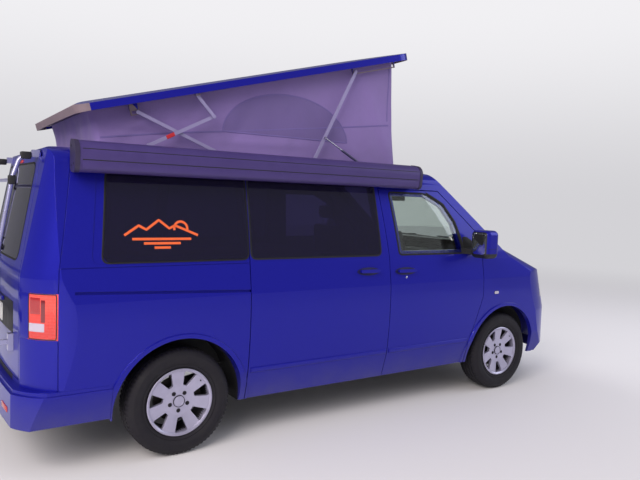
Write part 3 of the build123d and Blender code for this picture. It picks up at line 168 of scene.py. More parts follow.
@dataclass(frozen=True)
class Finish:
    """A surface: its colour, how rough it is, and fine grain from how it was made."""

    name: str
    colour: str
    roughness: float
    metallic: float = 0.0
    grain_mm: float = 2.0
    grain_depth_mm: float = 0.05
    mottle: float = 0.06
    edge_mm: float = 0.0
    sockets: dict = field(default_factory=dict)

    def material(self) -> bpy.types.Material:
        """Return the Blender material of this finish, made at its first use."""
        found = bpy.data.materials.get(self.name)
        if found is not None:
            return found
        made = bpy.data.materials.new(self.name)
        made.use_nodes = True
        tree = made.node_tree
        tree.nodes.clear()
        values = {"Base Color": linear(self.colour), "Roughness": self.roughness,
                  "Metallic": self.metallic, **self.sockets}
        shader = add_node(tree, "BsdfPrincipled", values=values)
        add_node(tree, "OutputMaterial", links={"Surface": shader.outputs["BSDF"]})
        place = add_node(tree, "TexCoord").outputs["Object"]
        self.pattern(tree, shader, place)
        return made

    def pattern(self, tree: Tree, shader: Node, place: Socket) -> None:
        """Add soft mottling to the colour and a fine moulded or cast grain."""
        self.mottled(tree, shader, place, 90.0)
        grain = add_node(tree, "TexNoise", links={"Vector": place},
                         values={"Scale": per_metre(self.grain_mm), "Detail": 3.0})
        self.bump(tree, shader, grain.outputs["Fac"], self.grain_depth_mm)

    def mottled(self, tree: Tree, shader: Node, place: Socket, size_mm: float) -> None:
        """Vary the colour and the roughness a little over patches of size_mm."""
        noise = add_node(tree, "TexNoise", links={"Vector": place},
                         values={"Scale": per_metre(size_mm), "Detail": 5.0, "Roughness": 0.6})
        ramp = add_node(tree, "ValToRGB", links={"Fac": noise.outputs["Fac"]})
        base = linear(self.colour)
        for stop, gain in zip(ramp.color_ramp.elements, (1 - self.mottle, 1 + self.mottle)):
            stop.color = (base[0] * gain, base[1] * gain, base[2] * gain, 1.0)
        ramp.color_ramp.elements[0].position = 0.3
        ramp.color_ramp.elements[1].position = 0.7
        tree.links.new(ramp.outputs["Color"], shader.inputs["Base Color"])
        rough = add_node(tree, "MapRange", links={"Value": noise.outputs["Fac"]},
                         values={"From Min": 0.3, "From Max": 0.7, "To Min": self.roughness * 0.88,
                                 "To Max": min(1.0, self.roughness * 1.12)})
        tree.links.new(rough.outputs["Result"], shader.inputs["Roughness"])

    def bump(self, tree: Tree, shader: Node, height: Socket, depth_mm: float) -> None:
        """Raise the surface by a height pattern that is depth_mm deep, over edges that look rounded."""
        links = {"Height": height}
        if self.edge_mm:
            edge = add_node(tree, "Bevel", {"samples": EDGE_SAMPLES}, values={"Radius": self.edge_mm * MM})
            links["Normal"] = edge.outputs["Normal"]
        node = add_node(tree, "Bump", links=links, values={"Strength": 1.0, "Distance": depth_mm * MM})
        tree.links.new(node.outputs["Normal"], shader.inputs["Normal"])


@dataclass(frozen=True)
class MetallicPaint(Finish):
    """Steel panel, sprayed with a metallic base coat under clear lacquer.

    Fine flakes glint in the colour, the lacquer gives sharp reflections, edges look rolled,
    and road dust dulls the lowest part of the body.
    """

    flake_mm: float = 1.6  # real flakes are finer than a pixel; these are as coarse as shows
    edge_mm: float = 3.0
    dust: str = "#6d6a78"
    dust_top: float = 0.52

    def pattern(self, tree: Tree, shader: Node, place: Socket) -> None:
        """Add flakes, dust and rolled edges."""
        flakes = add_node(tree, "TexVoronoi", links={"Vector": place},
                          values={"Scale": per_metre(self.flake_mm)})
        base = linear(self.colour)
        ramp = add_node(tree, "ValToRGB", links={"Fac": flakes.outputs["Distance"]})
        for stop, gain in zip(ramp.color_ramp.elements, (1.16, 0.86)):
            stop.color = (base[0] * gain, base[1] * gain, base[2] * gain, 1.0)
        height = add_node(tree, "SeparateXYZ", links={"Vector": place}).outputs["Z"]
        film = add_node(tree, "TexNoise", links={"Vector": place},
                        values={"Scale": per_metre(240.0), "Detail": 8.0, "Roughness": 0.7})
        low = add_node(tree, "MapRange", links={"Value": height},
                       values={"From Min": self.dust_top, "From Max": 0.26, "To Min": 0.0, "To Max": 0.55})
        share = add_node(tree, "Math", {"operation": "MULTIPLY"},
                         {0: low.outputs["Result"], 1: film.outputs["Fac"]})
        mixed = add_node(tree, "Mix", {"data_type": "RGBA"},
                         {"Factor": share.outputs["Value"], 6: ramp.outputs["Color"]},
                         {7: linear(self.dust)})
        tree.links.new(mixed.outputs[2], shader.inputs["Base Color"])
        rough = add_node(tree, "MapRange", links={"Value": share.outputs["Value"]},
                         values={"From Min": 0.0, "From Max": 0.4, "To Min": self.roughness, "To Max": 0.62})
        tree.links.new(rough.outputs["Result"], shader.inputs["Roughness"])
        edge = add_node(tree, "Bevel", {"samples": EDGE_SAMPLES}, values={"Radius": self.edge_mm * MM})
        peel = add_node(tree, "TexNoise", links={"Vector": place}, values={"Scale": per_metre(7.0)})
        wave = add_node(tree, "Bump",
                        links={"Height": peel.outputs["Fac"], "Normal": edge.outputs["Normal"]},
                        values={"Strength": 0.25, "Distance": 0.03 * MM})
        tree.links.new(wave.outputs["Normal"], shader.inputs["Normal"])
        tree.links.new(wave.outputs["Normal"], shader.inputs["Coat Normal"])


@dataclass(frozen=True)
class Glass(Finish):
    """Tempered float glass, tinted in the mass; clean, with a faint haze that varies its gloss."""

    film_mm: float = 160.0

    def pattern(self, tree: Tree, shader: Node, place: Socket) -> None:
        """Add a faint haze that varies the gloss."""
        haze = add_node(tree, "TexNoise", links={"Vector": place},
                        values={"Scale": per_metre(self.film_mm), "Detail": 6.0})
        rough = add_node(tree, "MapRange", links={"Value": haze.outputs["Fac"]},
                         values={"From Min": 0.4, "From Max": 0.8, "To Min": self.roughness,
                                 "To Max": self.roughness + 0.035})
        tree.links.new(rough.outputs["Result"], shader.inputs["Roughness"])


@dataclass(frozen=True)
class WovenCloth(Finish):
    """Cloth woven from dyed yarn; the crossing threads give a fine matt relief."""

    thread_mm: float = 4.0
    weave_depth_mm: float = 0.35
    crease_mm: float = 120.0

    def pattern(self, tree: Tree, shader: Node, place: Socket) -> None:
        """Cross two sets of threads and add soft creases under them."""
        self.mottled(tree, shader, place, 260.0)
        weave = crossed(tree, place, self.thread_mm, "MULTIPLY", 0.4)
        crease = add_node(tree, "TexNoise", links={"Vector": place},
                          values={"Scale": per_metre(self.crease_mm), "Detail": 4.0, "Distortion": 0.6})
        soft = add_node(tree, "Bump", links={"Height": crease.outputs["Fac"]},
                        values={"Strength": 0.5, "Distance": 6.0 * MM})
        fine = add_node(tree, "Bump", links={"Height": weave, "Normal": soft.outputs["Normal"]},
                        values={"Strength": 0.8, "Distance": self.weave_depth_mm * MM})
        tree.links.new(fine.outputs["Normal"], shader.inputs["Normal"])


@dataclass(frozen=True)
class BandedLens(Finish):
    """Moulded acrylic lamp lens in coloured bands, with rows of small prisms behind its face."""

    bands: tuple[tuple[float, str], ...] = ()
    prism_mm: float = 9.0

    def pattern(self, tree: Tree, shader: Node, place: Socket) -> None:
        """Colour the bands by height and press prisms into them."""
        height = add_node(tree, "SeparateXYZ", links={"Vector": place}).outputs["Z"]
        ramp = add_node(tree, "ValToRGB", links={"Fac": height})
        ramp.color_ramp.interpolation = "EASE"
        stops = ramp.color_ramp.elements
        while len(stops) < len(self.bands):
            stops.new(0.5)
        for stop, (start, colour) in zip(stops, self.bands):
            stop.position = start
            stop.color = linear(colour)
        tree.links.new(ramp.outputs["Color"], shader.inputs["Base Color"])
        self.bump(tree, shader, crossed(tree, place, self.prism_mm, "ADD"), 0.5)


@dataclass(frozen=True)
class StudioFloor(Finish):
    """Painted studio floor that runs into the backdrop away from the van."""

    near: float = 5.0
    far: float = 15.0
    glow: str = "#d3d2d6"

    def pattern(self, tree: Tree, shader: Node, place: Socket) -> None:
        """Blend the floor into the backdrop's colour for what the camera sees."""
        away = add_node(tree, "VectorMath", {"operation": "LENGTH"}, {0: place})
        share = add_node(tree, "MapRange", {"interpolation_type": "SMOOTHSTEP"},
                         {"Value": away.outputs["Value"]}, {"From Min": self.near, "From Max": self.far})
        seen = add_node(tree, "LightPath").outputs["Is Camera Ray"]
        part = add_node(tree, "Math", {"operation": "MULTIPLY"}, {0: share.outputs["Result"], 1: seen})
        glow = add_node(tree, "Emission", values={"Color": linear(self.glow), "Strength": 1.0})
        mixed = add_node(tree, "MixShader", links={0: part.outputs["Value"], 1: shader.outputs["BSDF"],
                                                   2: glow.outputs["Emission"]})
        end = next(node for node in tree.nodes if node.type == "OUTPUT_MATERIAL")
        tree.links.new(mixed.outputs["Shader"], end.inputs["Surface"])


@dataclass(frozen=True)
class WoodBoard(Finish):
    """Chipboard faced with printed laminate: straight pale grain under a satin film."""

    grain_width_mm: float = 22.0
    dark: str = "#9c7f5e"

    def pattern(self, tree: Tree, shader: Node, place: Socket) -> None:
        """Draw the grain along the board."""
        wave = add_node(tree, "TexWave", {"bands_direction": "Z"}, {"Vector": place},
                        {"Scale": wave_scale(self.grain_width_mm), "Distortion": 6.0, "Detail": 4.0,
                         "Detail Scale": 0.6})
        ramp = add_node(tree, "ValToRGB", links={"Fac": wave.outputs["Fac"]})
        ramp.color_ramp.elements[0].color = linear(self.dark)
        ramp.color_ramp.elements[1].color = linear(self.colour)
        tree.links.new(ramp.outputs["Color"], shader.inputs["Base Color"])
        self.bump(tree, shader, wave.outputs["Fac"], 0.05)


# Settings that several finishes share: clear lacquer over paint, acrylic, and glass to see through.
COAT = {"Coat Weight": 0.55, "Coat Roughness": 0.05, "Coat IOR": 1.4, "Specular IOR Level": 0.25,
        "Specular Tint": linear("#8f8cdd")}
POLISHED = {"Coat Weight": 1.0, "Coat Roughness": 0.03}
CLEAR = {"Transmission Weight": 1.0, "IOR": 1.52}
# A fifth of the light is not let through, so the tinted glass's purple shows on its face as a painted
# reflection of the sky.
SMOKED_WITH_PAINTED_SKY = {"Transmission Weight": 0.8, "IOR": 1.52}

# Flakes under lacquer: deep blue with a soft glint and clean highlights.
# The same paint made almost black is painted shade on a pad behind each handle.
BODY_PAINT = MetallicPaint("Sprayed metallic paint, deep blue", "#1a1b92", 0.36, 0.35, sockets=COAT)
HANDLE_PAINTED_SHADE = MetallicPaint("Sprayed paint in the hollow behind a handle", "#0d0c46", 0.5, 0.2)

# Moulded plastics: a leathery grain breaks up their shine, and the polished one mirrors lamps sharply.
TRIM_PLASTIC = Finish("Moulded polypropylene, black", "#141418", 0.55, grain_mm=1.5, grain_depth_mm=0.08)
GLOSS_PLASTIC = Finish("Moulded ABS, gloss black", "#0d0d11", 0.18, grain_mm=6.0, grain_depth_mm=0.01)
CAP_PLASTIC = Finish("Moulded ABS end cap, dark grey", "#2a2240", 0.5, grain_mm=1.4, grain_depth_mm=0.06)
RED_PLASTIC = Finish("Moulded nylon catch, red", "#b3202c", 0.38, grain_mm=1.2, grain_depth_mm=0.04)
DASH_PLASTIC = Finish("Slush moulded dashboard skin, dark grey", "#2b2b30", 0.62, grain_mm=2.2,
                      grain_depth_mm=0.14)

# Glass: the tinted panes show the cabin only as dark shapes, the clear ones show it whole.
# The purple on the tinted panes is partly their tint and partly a painted reflection of the sky.
PRIVACY_GLASS_WITH_PAINTED_SKY = Glass("Tempered privacy glass, near black", "#2a2450", 0.01, sockets=SMOKED_WITH_PAINTED_SKY)
CLEAR_GLASS = Glass("Laminated clear glass, faint green", "#dfe9e4", 0.005, sockets=CLEAR)
MIRROR_GLASS = Finish("Silvered mirror glass", "#dfe2e6", 0.02, 1.0, mottle=0.01, grain_depth_mm=0.0)

# Rubber: matt and blotched by wear, which leaves it the darkest thing under the van.
RUBBER_SEAL = Finish("Extruded EPDM rubber seal", "#0c0c0e", 0.72, grain_mm=1.2, grain_depth_mm=0.05)
TYRE_RUBBER = Finish("Vulcanised tyre rubber", "#100d18", 0.78, grain_mm=2.4, grain_depth_mm=0.12,
                     mottle=0.22)
LAMP_GASKET = Finish("Moulded gasket, dark wine", "#33101c", 0.5, grain_mm=1.5)

# Wheels: bright lacquered spokes with soft edges, over a barrel and bolts that stay dark.
# The rim's faces deep in the barrel take a darker grey; on discs over the bolt cups the same grey is painted
# shade.
RIM_PAINT = Finish("Cast aluminium wheel, lacquered silver", "#aeabc4", 0.34, 0.6, grain_mm=0.9,
                   grain_depth_mm=0.02, edge_mm=4.0, sockets={"Coat Weight": 0.6, "Coat Roughness": 0.12})
RIM_DARK_AND_CUP_SHADE = Finish("Cast aluminium wheel barrel, dulled by brake dust", "#2c2a30", 0.7, 0.2, grain_mm=2.0,
                    mottle=0.2)
WHEEL_BOLT = Finish("Forged wheel bolt, black oxide", "#232128", 0.4, 0.7, grain_mm=1.0, edge_mm=0.8)

# Metals of the running gear: rough castings, waxed sheet and heat-stained pipe, all uneven in tone.
CAST_IRON = Finish("Cast iron, machined and rusted lightly", "#3d3936", 0.5, 0.8, grain_mm=1.8,
                   grain_depth_mm=0.12, mottle=0.3)
CHASSIS = Finish("Pressed steel, black wax coating", "#17171a", 0.6, 0.1, grain_mm=5.0, grain_depth_mm=0.3,
                 mottle=0.2)
STEEL_PIPE = Finish("Drawn steel pipe, heat stained", "#6a655f", 0.42, 0.9, grain_mm=3.0,
                    grain_depth_mm=0.06, mottle=0.25)

# Coated and plated metals: satin powder coats with an even tone, and chrome that mirrors its surroundings.
BAR_METAL = Finish("Flat steel bar, grey powder coat", "#8a82ab", 0.45, 0.15, grain_mm=0.8,
                   grain_depth_mm=0.03, edge_mm=1.0)
STRUT_PAINT = Finish("Drawn steel tube, dark grey enamel", "#4a4566", 0.35, 0.2, grain_mm=1.5,
                     grain_depth_mm=0.01)
STRUT_CHROME = Finish("Ground steel rod, hard chromed", "#cfcfd4", 0.12, 1.0, grain_mm=1.0,
                      grain_depth_mm=0.005, mottle=0.02)
CHROME = Finish("Vacuum metallised reflector", "#d9dade", 0.08, 1.0, grain_mm=30.0, grain_depth_mm=0.02,
                mottle=0.02)
AWNING_PAINT = Finish("Extruded aluminium case, powder coated charcoal", "#3d2f69", 0.45, 0.1, grain_mm=0.9,
                      grain_depth_mm=0.05)
RACK_METAL = Finish("Bent aluminium tube, satin anodised", "#a3a3c6", 0.3, 0.6, grain_mm=2.0,
                    grain_depth_mm=0.004)
BLANK_PLATE = Finish("Pressed aluminium plate, white sheeting", "#e6e6e2", 0.35, grain_mm=3.0,
                     grain_depth_mm=0.02)

# Glass fibre as it leaves the mould: dull, brownish and pebbled, unlike the painted top of the shell.
# On the shell's rear end and on the lugs under its rim the same grey-brown is painted shade.
SHELL_GREY_AND_SHADE = Finish("Laminated glass fibre, bare grey underside", "#71616a", 0.62, grain_mm=3.2,
                    grain_depth_mm=0.25, mottle=0.12)

# Cloth: matt, creased and a little fuzzy. Real threads are 0.4 to 0.8 mm apart; they are drawn five to
# ten times as coarse, so that the weave shows in a picture of the whole van.
TENT_CLOTH = WovenCloth("Coated cotton canvas, mauve grey", "#78649d", 0.82, mottle=0.08,
                        sockets={"Sheen Weight": 0.15}, thread_mm=5.0)
TENT_NET = WovenCloth("Woven polyester insect net, dark grey", "#65568a", 0.86, mottle=0.05, thread_mm=4.0,
                      weave_depth_mm=0.6)
TENT_TAPE = WovenCloth("Polyester binding tape, grey", "#655790", 0.8, thread_mm=3.0)
SEAT_CLOTH = WovenCloth("Woven seat upholstery, charcoal", "#35323a", 0.9, sockets={"Sheen Weight": 0.3},
                        thread_mm=4.5, mottle=0.12)
SEAT_PALE = WovenCloth("Woven seat upholstery, slate", "#565764", 0.9, sockets={"Sheen Weight": 0.3},
                       thread_mm=4.5)
LINING = WovenCloth("Needled felt lining, light grey", "#8b888e", 0.95, thread_mm=3.0, weave_depth_mm=0.2)

# Boards and laminates of the cabin: printed grain under a satin film that catches the window light.
CABINET_BOARD = WoodBoard("Laminated board, pale oak print", "#c9ab82", 0.42)
FLOOR_VINYL = WoodBoard("Printed vinyl floor, grey oak", "#8d8377", 0.5, dark="#6d645a", grain_width_mm=35.0)
WORKTOP = Finish("Pressed laminate worktop, light stone", "#b9b5ae", 0.3, grain_mm=4.0, grain_depth_mm=0.03,
                 mottle=0.14)

# Lenses: glossy faces over coarse prisms, which make them sparkle in patches and glow at the edges.
CLEAR_LENS = Glass("Moulded polycarbonate, clear", "#eef1f4", 0.02,
                   sockets={"Transmission Weight": 1.0, "IOR": 1.58})
PALE_LENS = Finish("Moulded acrylic, frosted clear", "#cfc8dc", 0.18, grain_mm=6.0, grain_depth_mm=0.2,
                   sockets={"Transmission Weight": 0.3, "IOR": 1.49})
RED_LENS = Finish("Moulded acrylic reflector, red", "#a81d20", 0.16, grain_mm=5.0, grain_depth_mm=0.4)
# The reds lighten towards the top of the lens: partly the lens's own bands, and partly a painted highlight at
# its top.
TAIL_BANDS_AND_HIGHLIGHT = BandedLens("Moulded acrylic tail lamp, orange red", "#dd3a30", 0.12,
                        sockets={"Transmission Weight": 0.1, "IOR": 1.49, **POLISHED},
                        bands=((0.0, "#c3241f"), (0.84, "#cf2d26"), (0.95, "#dd372c"), (0.99, "#e8473a")))
LAMP_DEEP = Finish("Moulded acrylic tail lamp, dark red cell", "#9c1b21", 0.14, grain_mm=7.0,
                   grain_depth_mm=0.4, sockets=POLISHED)
LAMP_SHADE = Finish("Moulded acrylic tail lamp, wine red rib", "#6d0d1a", 0.16, grain_mm=7.0,
                    grain_depth_mm=0.3, sockets=POLISHED)

# Cut film: flat, even orange with a faint orange-peel.
DECAL_FILM = Finish("Cut vinyl film, orange", "#e0602c", 0.4, grain_mm=3.0, grain_depth_mm=0.01)


class Form:
    """One mesh under construction, in metres, in the van's frame."""

    def __init__(self) -> None:
        """Start an empty mesh."""
        self.mesh = bmesh.new()

    def grid(self, rows: Sequence[Sequence[Vector]], loop: bool = False, ring: bool = False,
             caps: bool = False) -> "Form":
        """Skin a table of points with four-sided faces.

        Args:
            rows: the points, each row as long as the first.
            loop: whether the last row joins the first.
            ring: whether each row's last point joins its first.
            caps: whether the first and last rows are closed by a face.

        Returns:
            This form.
        """
        table = [[self.mesh.verts.new(point) for point in row] for row in rows]
        height = len(table)
        width = len(table[0])
        for i in range(height if loop else height - 1):
            for j in range(width if ring else width - 1):
                one, two = table[i], table[(i + 1) % height]
                k = (j + 1) % width
                self.mesh.faces.new((one[j], one[k], two[k], two[j]))
        if caps:
            self.mesh.faces.new(table[0][::-1])
            self.mesh.faces.new(table[-1])
        return self

    def lathe(self, profile: Sequence[Pair], hub: Vector, axis: Vector, steps: int = 48,
              wave: Callable[[int, int], float] | None = None) -> "Form":
        """Turn a profile about an axis.

        Args:
            profile: pairs of a radius and a distance along the axis.
            hub: a point on the axis.
            axis: the axis's direction.
            steps: how many steps go round.
            wave: what is added to the radius at a step and a profile point.

        Returns:
            This form.
        """
        way = axis.normalized()
        first = way.orthogonal().normalized()
        second = way.cross(first)
        rows = []
        for step in range(steps):
            angle = math.tau * step / steps
            spoke = first * math.cos(angle) + second * math.sin(angle)
            rows.append([hub + way * along + spoke * (radius + (wave(step, index) if wave else 0.0))
                         for index, (radius, along) in enumerate(profile)])
        return self.grid(rows, loop=True)

    def tube(self, path: Sequence[Vector], radius: float, sides: int = 10) -> "Form":
        """Sweep a round section along a path, closed at both ends."""
        rows = []
        up = None
        for index, point in enumerate(path):
            ahead = path[min(index + 1, len(path) - 1)] - path[max(index - 1, 0)]
            way = ahead.normalized()
            up = way.orthogonal().normalized() if up is None else (up - way * up.dot(way)).normalized()
            side = way.cross(up)
            rows.append([point + (up * math.cos(a) + side * math.sin(a)) * radius
                         for a in (math.tau * i / sides for i in range(sides))])
        return self.grid(rows, ring=True, caps=True)

    def strip(self, line: Sequence[Spot], width: float, height: float, sink: float = 0.0,
              loop: bool = False) -> "Form":
        """Lay a flat strip with rounded shoulders along a line on a surface.

        Args:
            line: points on the surface, each with the surface's normal.
            width: the strip's width.
            height: how far it stands proud.
            sink: how far its foot is set below the surface.
            loop: whether the line closes on itself.

        Returns:
            This form.
        """
        shape = ((-0.5, -1.0), (-0.5, 0.55), (-0.36, 1.0), (0.36, 1.0), (0.5, 0.55), (0.5, -1.0))
        rows = []
        count = len(line)
        for index, (point, normal) in enumerate(line):
            after = line[(index + 1) % count if loop else min(index + 1, count - 1)][0]
            before = line[index - 1 if loop else max(index - 1, 0)][0]
            across = (after - before).normalized().cross(normal).normalized()
            rows.append([point + across * (u * width) + normal * (-sink if v < 0 else v * height)
                         for u, v in shape])
        return self.grid(rows, loop=loop, ring=True, caps=not loop)

    def block(self, low: Vector, high: Vector, radius: float = 0.0, turn: Matrix | None = None) -> "Form":
        """Add a block between two corners, its edges rounded, then turned about its middle."""
        middle = (low + high) / 2
        size = high - low
        made = bmesh.ops.create_cube(self.mesh, size=1.0)
        verts = made["verts"]
        bmesh.ops.scale(self.mesh, vec=size, verts=verts)
        if radius:
            edges = list({edge for vert in verts for edge in vert.link_edges})
            done = bmesh.ops.bevel(self.mesh, geom=edges, offset=radius, segments=3, affect="EDGES",
                                   profile=0.5)
            verts = list({vert for face in done["faces"] for vert in face.verts}
                         | {vert for vert in verts if vert.is_valid})
        place = Matrix.Translation(middle) @ (turn.to_4x4() if turn else Matrix.Identity(4))
        bmesh.ops.transform(self.mesh, matrix=place, verts=verts)
        return self

    def blocks(self, table: Sequence[Block]) -> "Form":
        """Add blocks by two corners each, from the middle of the wheelbase, and a rounding."""
        for low, high, radius in table:
            self.block(at(*low), at(*high), radius)
        return self

    def pad(self, line: Sequence[Spot], lift: float, sink: float = 0.002, shoulder: float = 0.0012) -> "Form":
        """Raise a flat pad with rounded shoulders inside a loop on a surface.

        Args:
            line: points of the loop, each with the surface's normal.
            lift: how far the pad stands proud.
            sink: how far its foot is set below the surface.
            shoulder: the rounding of its top edge.

        Returns:
            This form.
        """
        middle = sum((point for point, _ in line), Vector()) / len(line)
        rows = []
        for inset, height in ((0.0, -sink), (0.0, lift - shoulder), (shoulder * 0.35, lift - shoulder * 0.3),
                              (shoulder, lift)):
            row = []
            for point, normal in line:
                inward = middle - point
                inward = (inward - normal * inward.dot(normal)).normalized()
                row.append(point + normal * height + inward * inset)
            rows.append(row)
        return self.grid(rows, ring=True, caps=True)

    def film(self, place: Callable[[float, float], Spot], u: Pair, v: Pair,
             steps: tuple[int, int] = (12, 4), lift: float = 0.0008, rim: float = 0.04) -> "Form":
        """Lay a thin sheet over part of a surface, its border sunk into the surface.

        Args:
            place: the surface's point and normal for a pair of coordinates.
            u: the sheet's range of the first coordinate.
            v: its range of the second one.
            steps: divisions along both.
            lift: how far it stands proud.
            rim: the share of the width in which its border rises.

        Returns:
            This form.
        """
        across, along = ([0.0, *(rim + (1 - 2 * rim) * i / count for i in range(count + 1)), 1.0]
                         for count in steps)
        rows = []
        for b in along:
            row = []
            for a in across:
                point, normal = place(u[0] + (u[1] - u[0]) * a, v[0] + (v[1] - v[0]) * b)
                edge = a in (0.0, 1.0) or b in (0.0, 1.0)
                row.append(point + normal * (-0.0004 if edge else lift))
            rows.append(row)
        return self.grid(rows)

    def cushion(self, middle: Triple, way: Triple, size: Triple, bolster: float = 0.0) -> "Form":
        """Add a closed cushion with rounded ends, crowned towards its face.

        Args:
            middle: its centre.
            way: the direction of its length, in the plane of the van's x and z.
            size: its length, its width and its thickness.
            bolster: how far the sides of its face stand up.

        Returns:
            This form.
        """
        run = Vector(way).normalized()
        side = Vector((0, 1, 0))
        face = side.cross(run)
        if face.dot(Vector((1, 0, 1))) < 0:
            face = -face
        rows = []
        for k in range(17):
            t = -1 + 2 * k / 16
            ease = 1 - abs(t) ** 5 * 0.55
            row = []
            for i in range(40):
                a = math.tau * i / 40
                y = math.copysign(abs(math.cos(a)) ** 0.42, math.cos(a))
                z = math.copysign(abs(math.sin(a)) ** 0.42, math.sin(a))
                lift = bolster * abs(y) ** 3 if z > 0 else 0.0
                row.append(Vector(middle) + run * (t * size[0] / 2 * (1 - 0.03 * z * z))
                           + side * (y * size[1] / 2 * (1 - 0.05 * abs(t) ** 5))
                           + face * (z * size[2] / 2 * ease + lift * ease))
            rows.append(row)
        return self.grid(rows, ring=True, caps=True)

    def prism(self, outline: Sequence[Vector], way: Vector) -> "Form":
        """Extrude a closed outline along a direction."""
        near = [self.mesh.verts.new(point) for point in outline]
        far = [self.mesh.verts.new(point + way) for point in outline]
        count = len(outline)
        self.mesh.faces.new(near[::-1])
        self.mesh.faces.new(far)
        for i in range(count):
            self.mesh.faces.new((near[i], near[(i + 1) % count], far[(i + 1) % count], far[i]))
        return self

    def mirror(self) -> "Form":
        """Add the same shape on the other side of the van."""
        whole = self.mesh.verts[:] + self.mesh.edges[:] + self.mesh.faces[:]
        copied = bmesh.ops.duplicate(self.mesh, geom=whole)
        verts = [item for item in copied["geom"] if isinstance(item, bmesh.types.BMVert)]
        bmesh.ops.scale(self.mesh, vec=(1, -1, 1), verts=verts)
        return self

    def piece(self, name: str, finish: Finish, body: str, slot: str, angle: float = 38.0) -> Item:
        """Turn the form into a piece that rides on a body.

        Args:
            name: the piece's name.
            finish: its finish.
            body: the body that it moves with.
            slot: not used.
            angle: edges sharper than this many degrees stay sharp.

        Returns:
            The new object.
        """
        bmesh.ops.recalc_face_normals(self.mesh, faces=self.mesh.faces)
        data = bpy.data.meshes.new(name)
        self.mesh.to_mesh(data)
        self.mesh.free()
        data.polygons.foreach_set("use_smooth", [True] * len(data.polygons))
        data.set_sharp_from_angle(angle=math.radians(angle))
        made = bpy.data.objects.new(name, data)
        bpy.context.scene.collection.objects.link(made)
        data.materials.append(finish.material())
        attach(made, body)
        LOG.info("%s: %d faces on %s", name, len(data.polygons), body)
        return made


class Skin:
    """The outside of some meshes, so that a small piece sits on what carries it."""

    def __init__(self, *objects: Item) -> None:
        """Gather the meshes into one search tree."""
        joined = bmesh.new()
        for item in objects:
            joined.from_mesh(item.data)
        self.tree = BVHTree.FromBMesh(joined)
        joined.free()

    @classmethod
    def of_nodes(cls, *names: str) -> "Skin":
        """Make a skin from CAD nodes."""
        return cls(*(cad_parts[name] for name in names))

    def hit(self, start: Vector, way: Vector) -> Spot:
        """Return the first point that a ray meets, and the surface's normal there.

        Args:
            start: where the ray starts.
            way: its direction.

        Returns:
            The point, and the normal turned to face the ray.

        Raises:
            ValueError: if the ray meets nothing.
        """
        point, normal, _, _ = self.tree.ray_cast(start, way)
        if point is None:
            raise ValueError(f"nothing lies under a ray from {tuple(start)}")
        return point, normal if normal.dot(way) < 0 else -normal

    def beside(self, x: float, z: float, side: Side, start: float = 3.0) -> Spot:
        """Return the surface seen from one side of the van, from a distance off its middle."""
        return self.hit(Vector((x, side.value * start, z)), Vector((0, -side.value, 0)))

    def around(self, middle: Pair, angle: float, z: float) -> Spot:
        """Return the surface met on the way in to an upright line, from an angle in degrees."""
        way = Vector((math.cos(math.radians(angle)), math.sin(math.radians(angle)), 0))
        return self.hit(Vector((*middle, z)) + way * 1.2, -way)

    def behind(self, y: float, z: float) -> Spot:
        """Return the surface seen from behind."""
        return self.hit(Vector((-6.0, y, z)), Vector((1, 0, 0)))

    def ahead(self, y: float, z: float) -> Spot:
        """Return the surface seen from in front."""
        return self.hit(Vector((6.0, y, z)), Vector((-1, 0, 0)))

    def along(self, path: Iterable[Pair], side: Side) -> list[Spot]:
        """Return the surface under a path on one side, its x from the middle of the wheelbase."""
        return [self.beside(x + MID_X, z, side) for x, z in path]

    def back(self, path: Iterable[Pair]) -> list[Spot]:
        """Return the surface under a path of y and z at the rear."""
        return [self.behind(y, z) for y, z in path]

    def nose(self, path: Iterable[Pair]) -> list[Spot]:
        """Return the surface under a path of y and z at the front."""
        return [self.ahead(y, z) for y, z in path]


def between(points: Sequence[Pair], step: float, loop: bool = False) -> list[Pair]:
    """Divide the runs between points so that none is longer than step."""
    ends = list(points) + ([points[0]] if loop else [])
    out: list[Pair] = []
    for (x0, z0), (x1, z1) in zip(ends, ends[1:]):
        count = max(1, math.ceil(math.hypot(x1 - x0, z1 - z0) / step))
        out += [(x0 + (x1 - x0) * i / count, z0 + (z1 - z0) * i / count) for i in range(count)]
    return out if loop else out + [ends[-1]]


def arc(middle: Pair, radii: Pair, start: float, end: float, steps: int) -> list[Pair]:
    """Return points on part of an ellipse, its angles in degrees."""
    angles = [math.radians(start + (end - start) * i / steps) for i in range(steps + 1)]
    return [(middle[0] + radii[0] * math.cos(a), middle[1] + radii[1] * math.sin(a)) for a in angles]


def disc(middle: Pair, radius: float, steps: int = 24) -> list[Pair]:
    """Return the outline of a circle, without its last point."""
    return arc(middle, (radius, radius), 0, 360 - 360 / steps, steps - 1)


def rounded(corners: Sequence[Pair], radius: float, steps: int = 5) -> list[Pair]:
    """Round the corners of a closed outline."""
    out: list[Pair] = []
    for i, (x, z) in enumerate(corners):
        ends = []
        for px, pz in (corners[i - 1], corners[(i + 1) % len(corners)]):
            share = min(0.45, radius / math.hypot(px - x, pz - z))
            ends.append((x + (px - x) * share, z + (pz - z) * share))
        for k in range(steps + 1):
            t = k / steps
            out.append(tuple((1 - t) ** 2 * a + 2 * t * (1 - t) * b + t * t * c
                             for a, b, c in zip(ends[0], (x, z), ends[1])))
    return out


def panel(middle: Pair, width: float, height: float, radius: float) -> list[Pair]:
    """Return the outline of a rounded rectangle."""
    x, z = middle
    corners = [(x - width / 2, z - height / 2), (x + width / 2, z - height / 2),
               (x + width / 2, z + height / 2), (x - width / 2, z + height / 2)]
    return between(rounded(corners, radius), 0.02, loop=True)


def grown(corners: Sequence[Pair], by: float) -> list[Pair]:
    """Move the corners of an outline away from its middle."""
    x = sum(a for a, _ in corners) / len(corners)
    z = sum(b for _, b in corners) / len(corners)
    return [(a + math.copysign(by, a - x), b + math.copysign(by, b - z)) for a, b in corners]


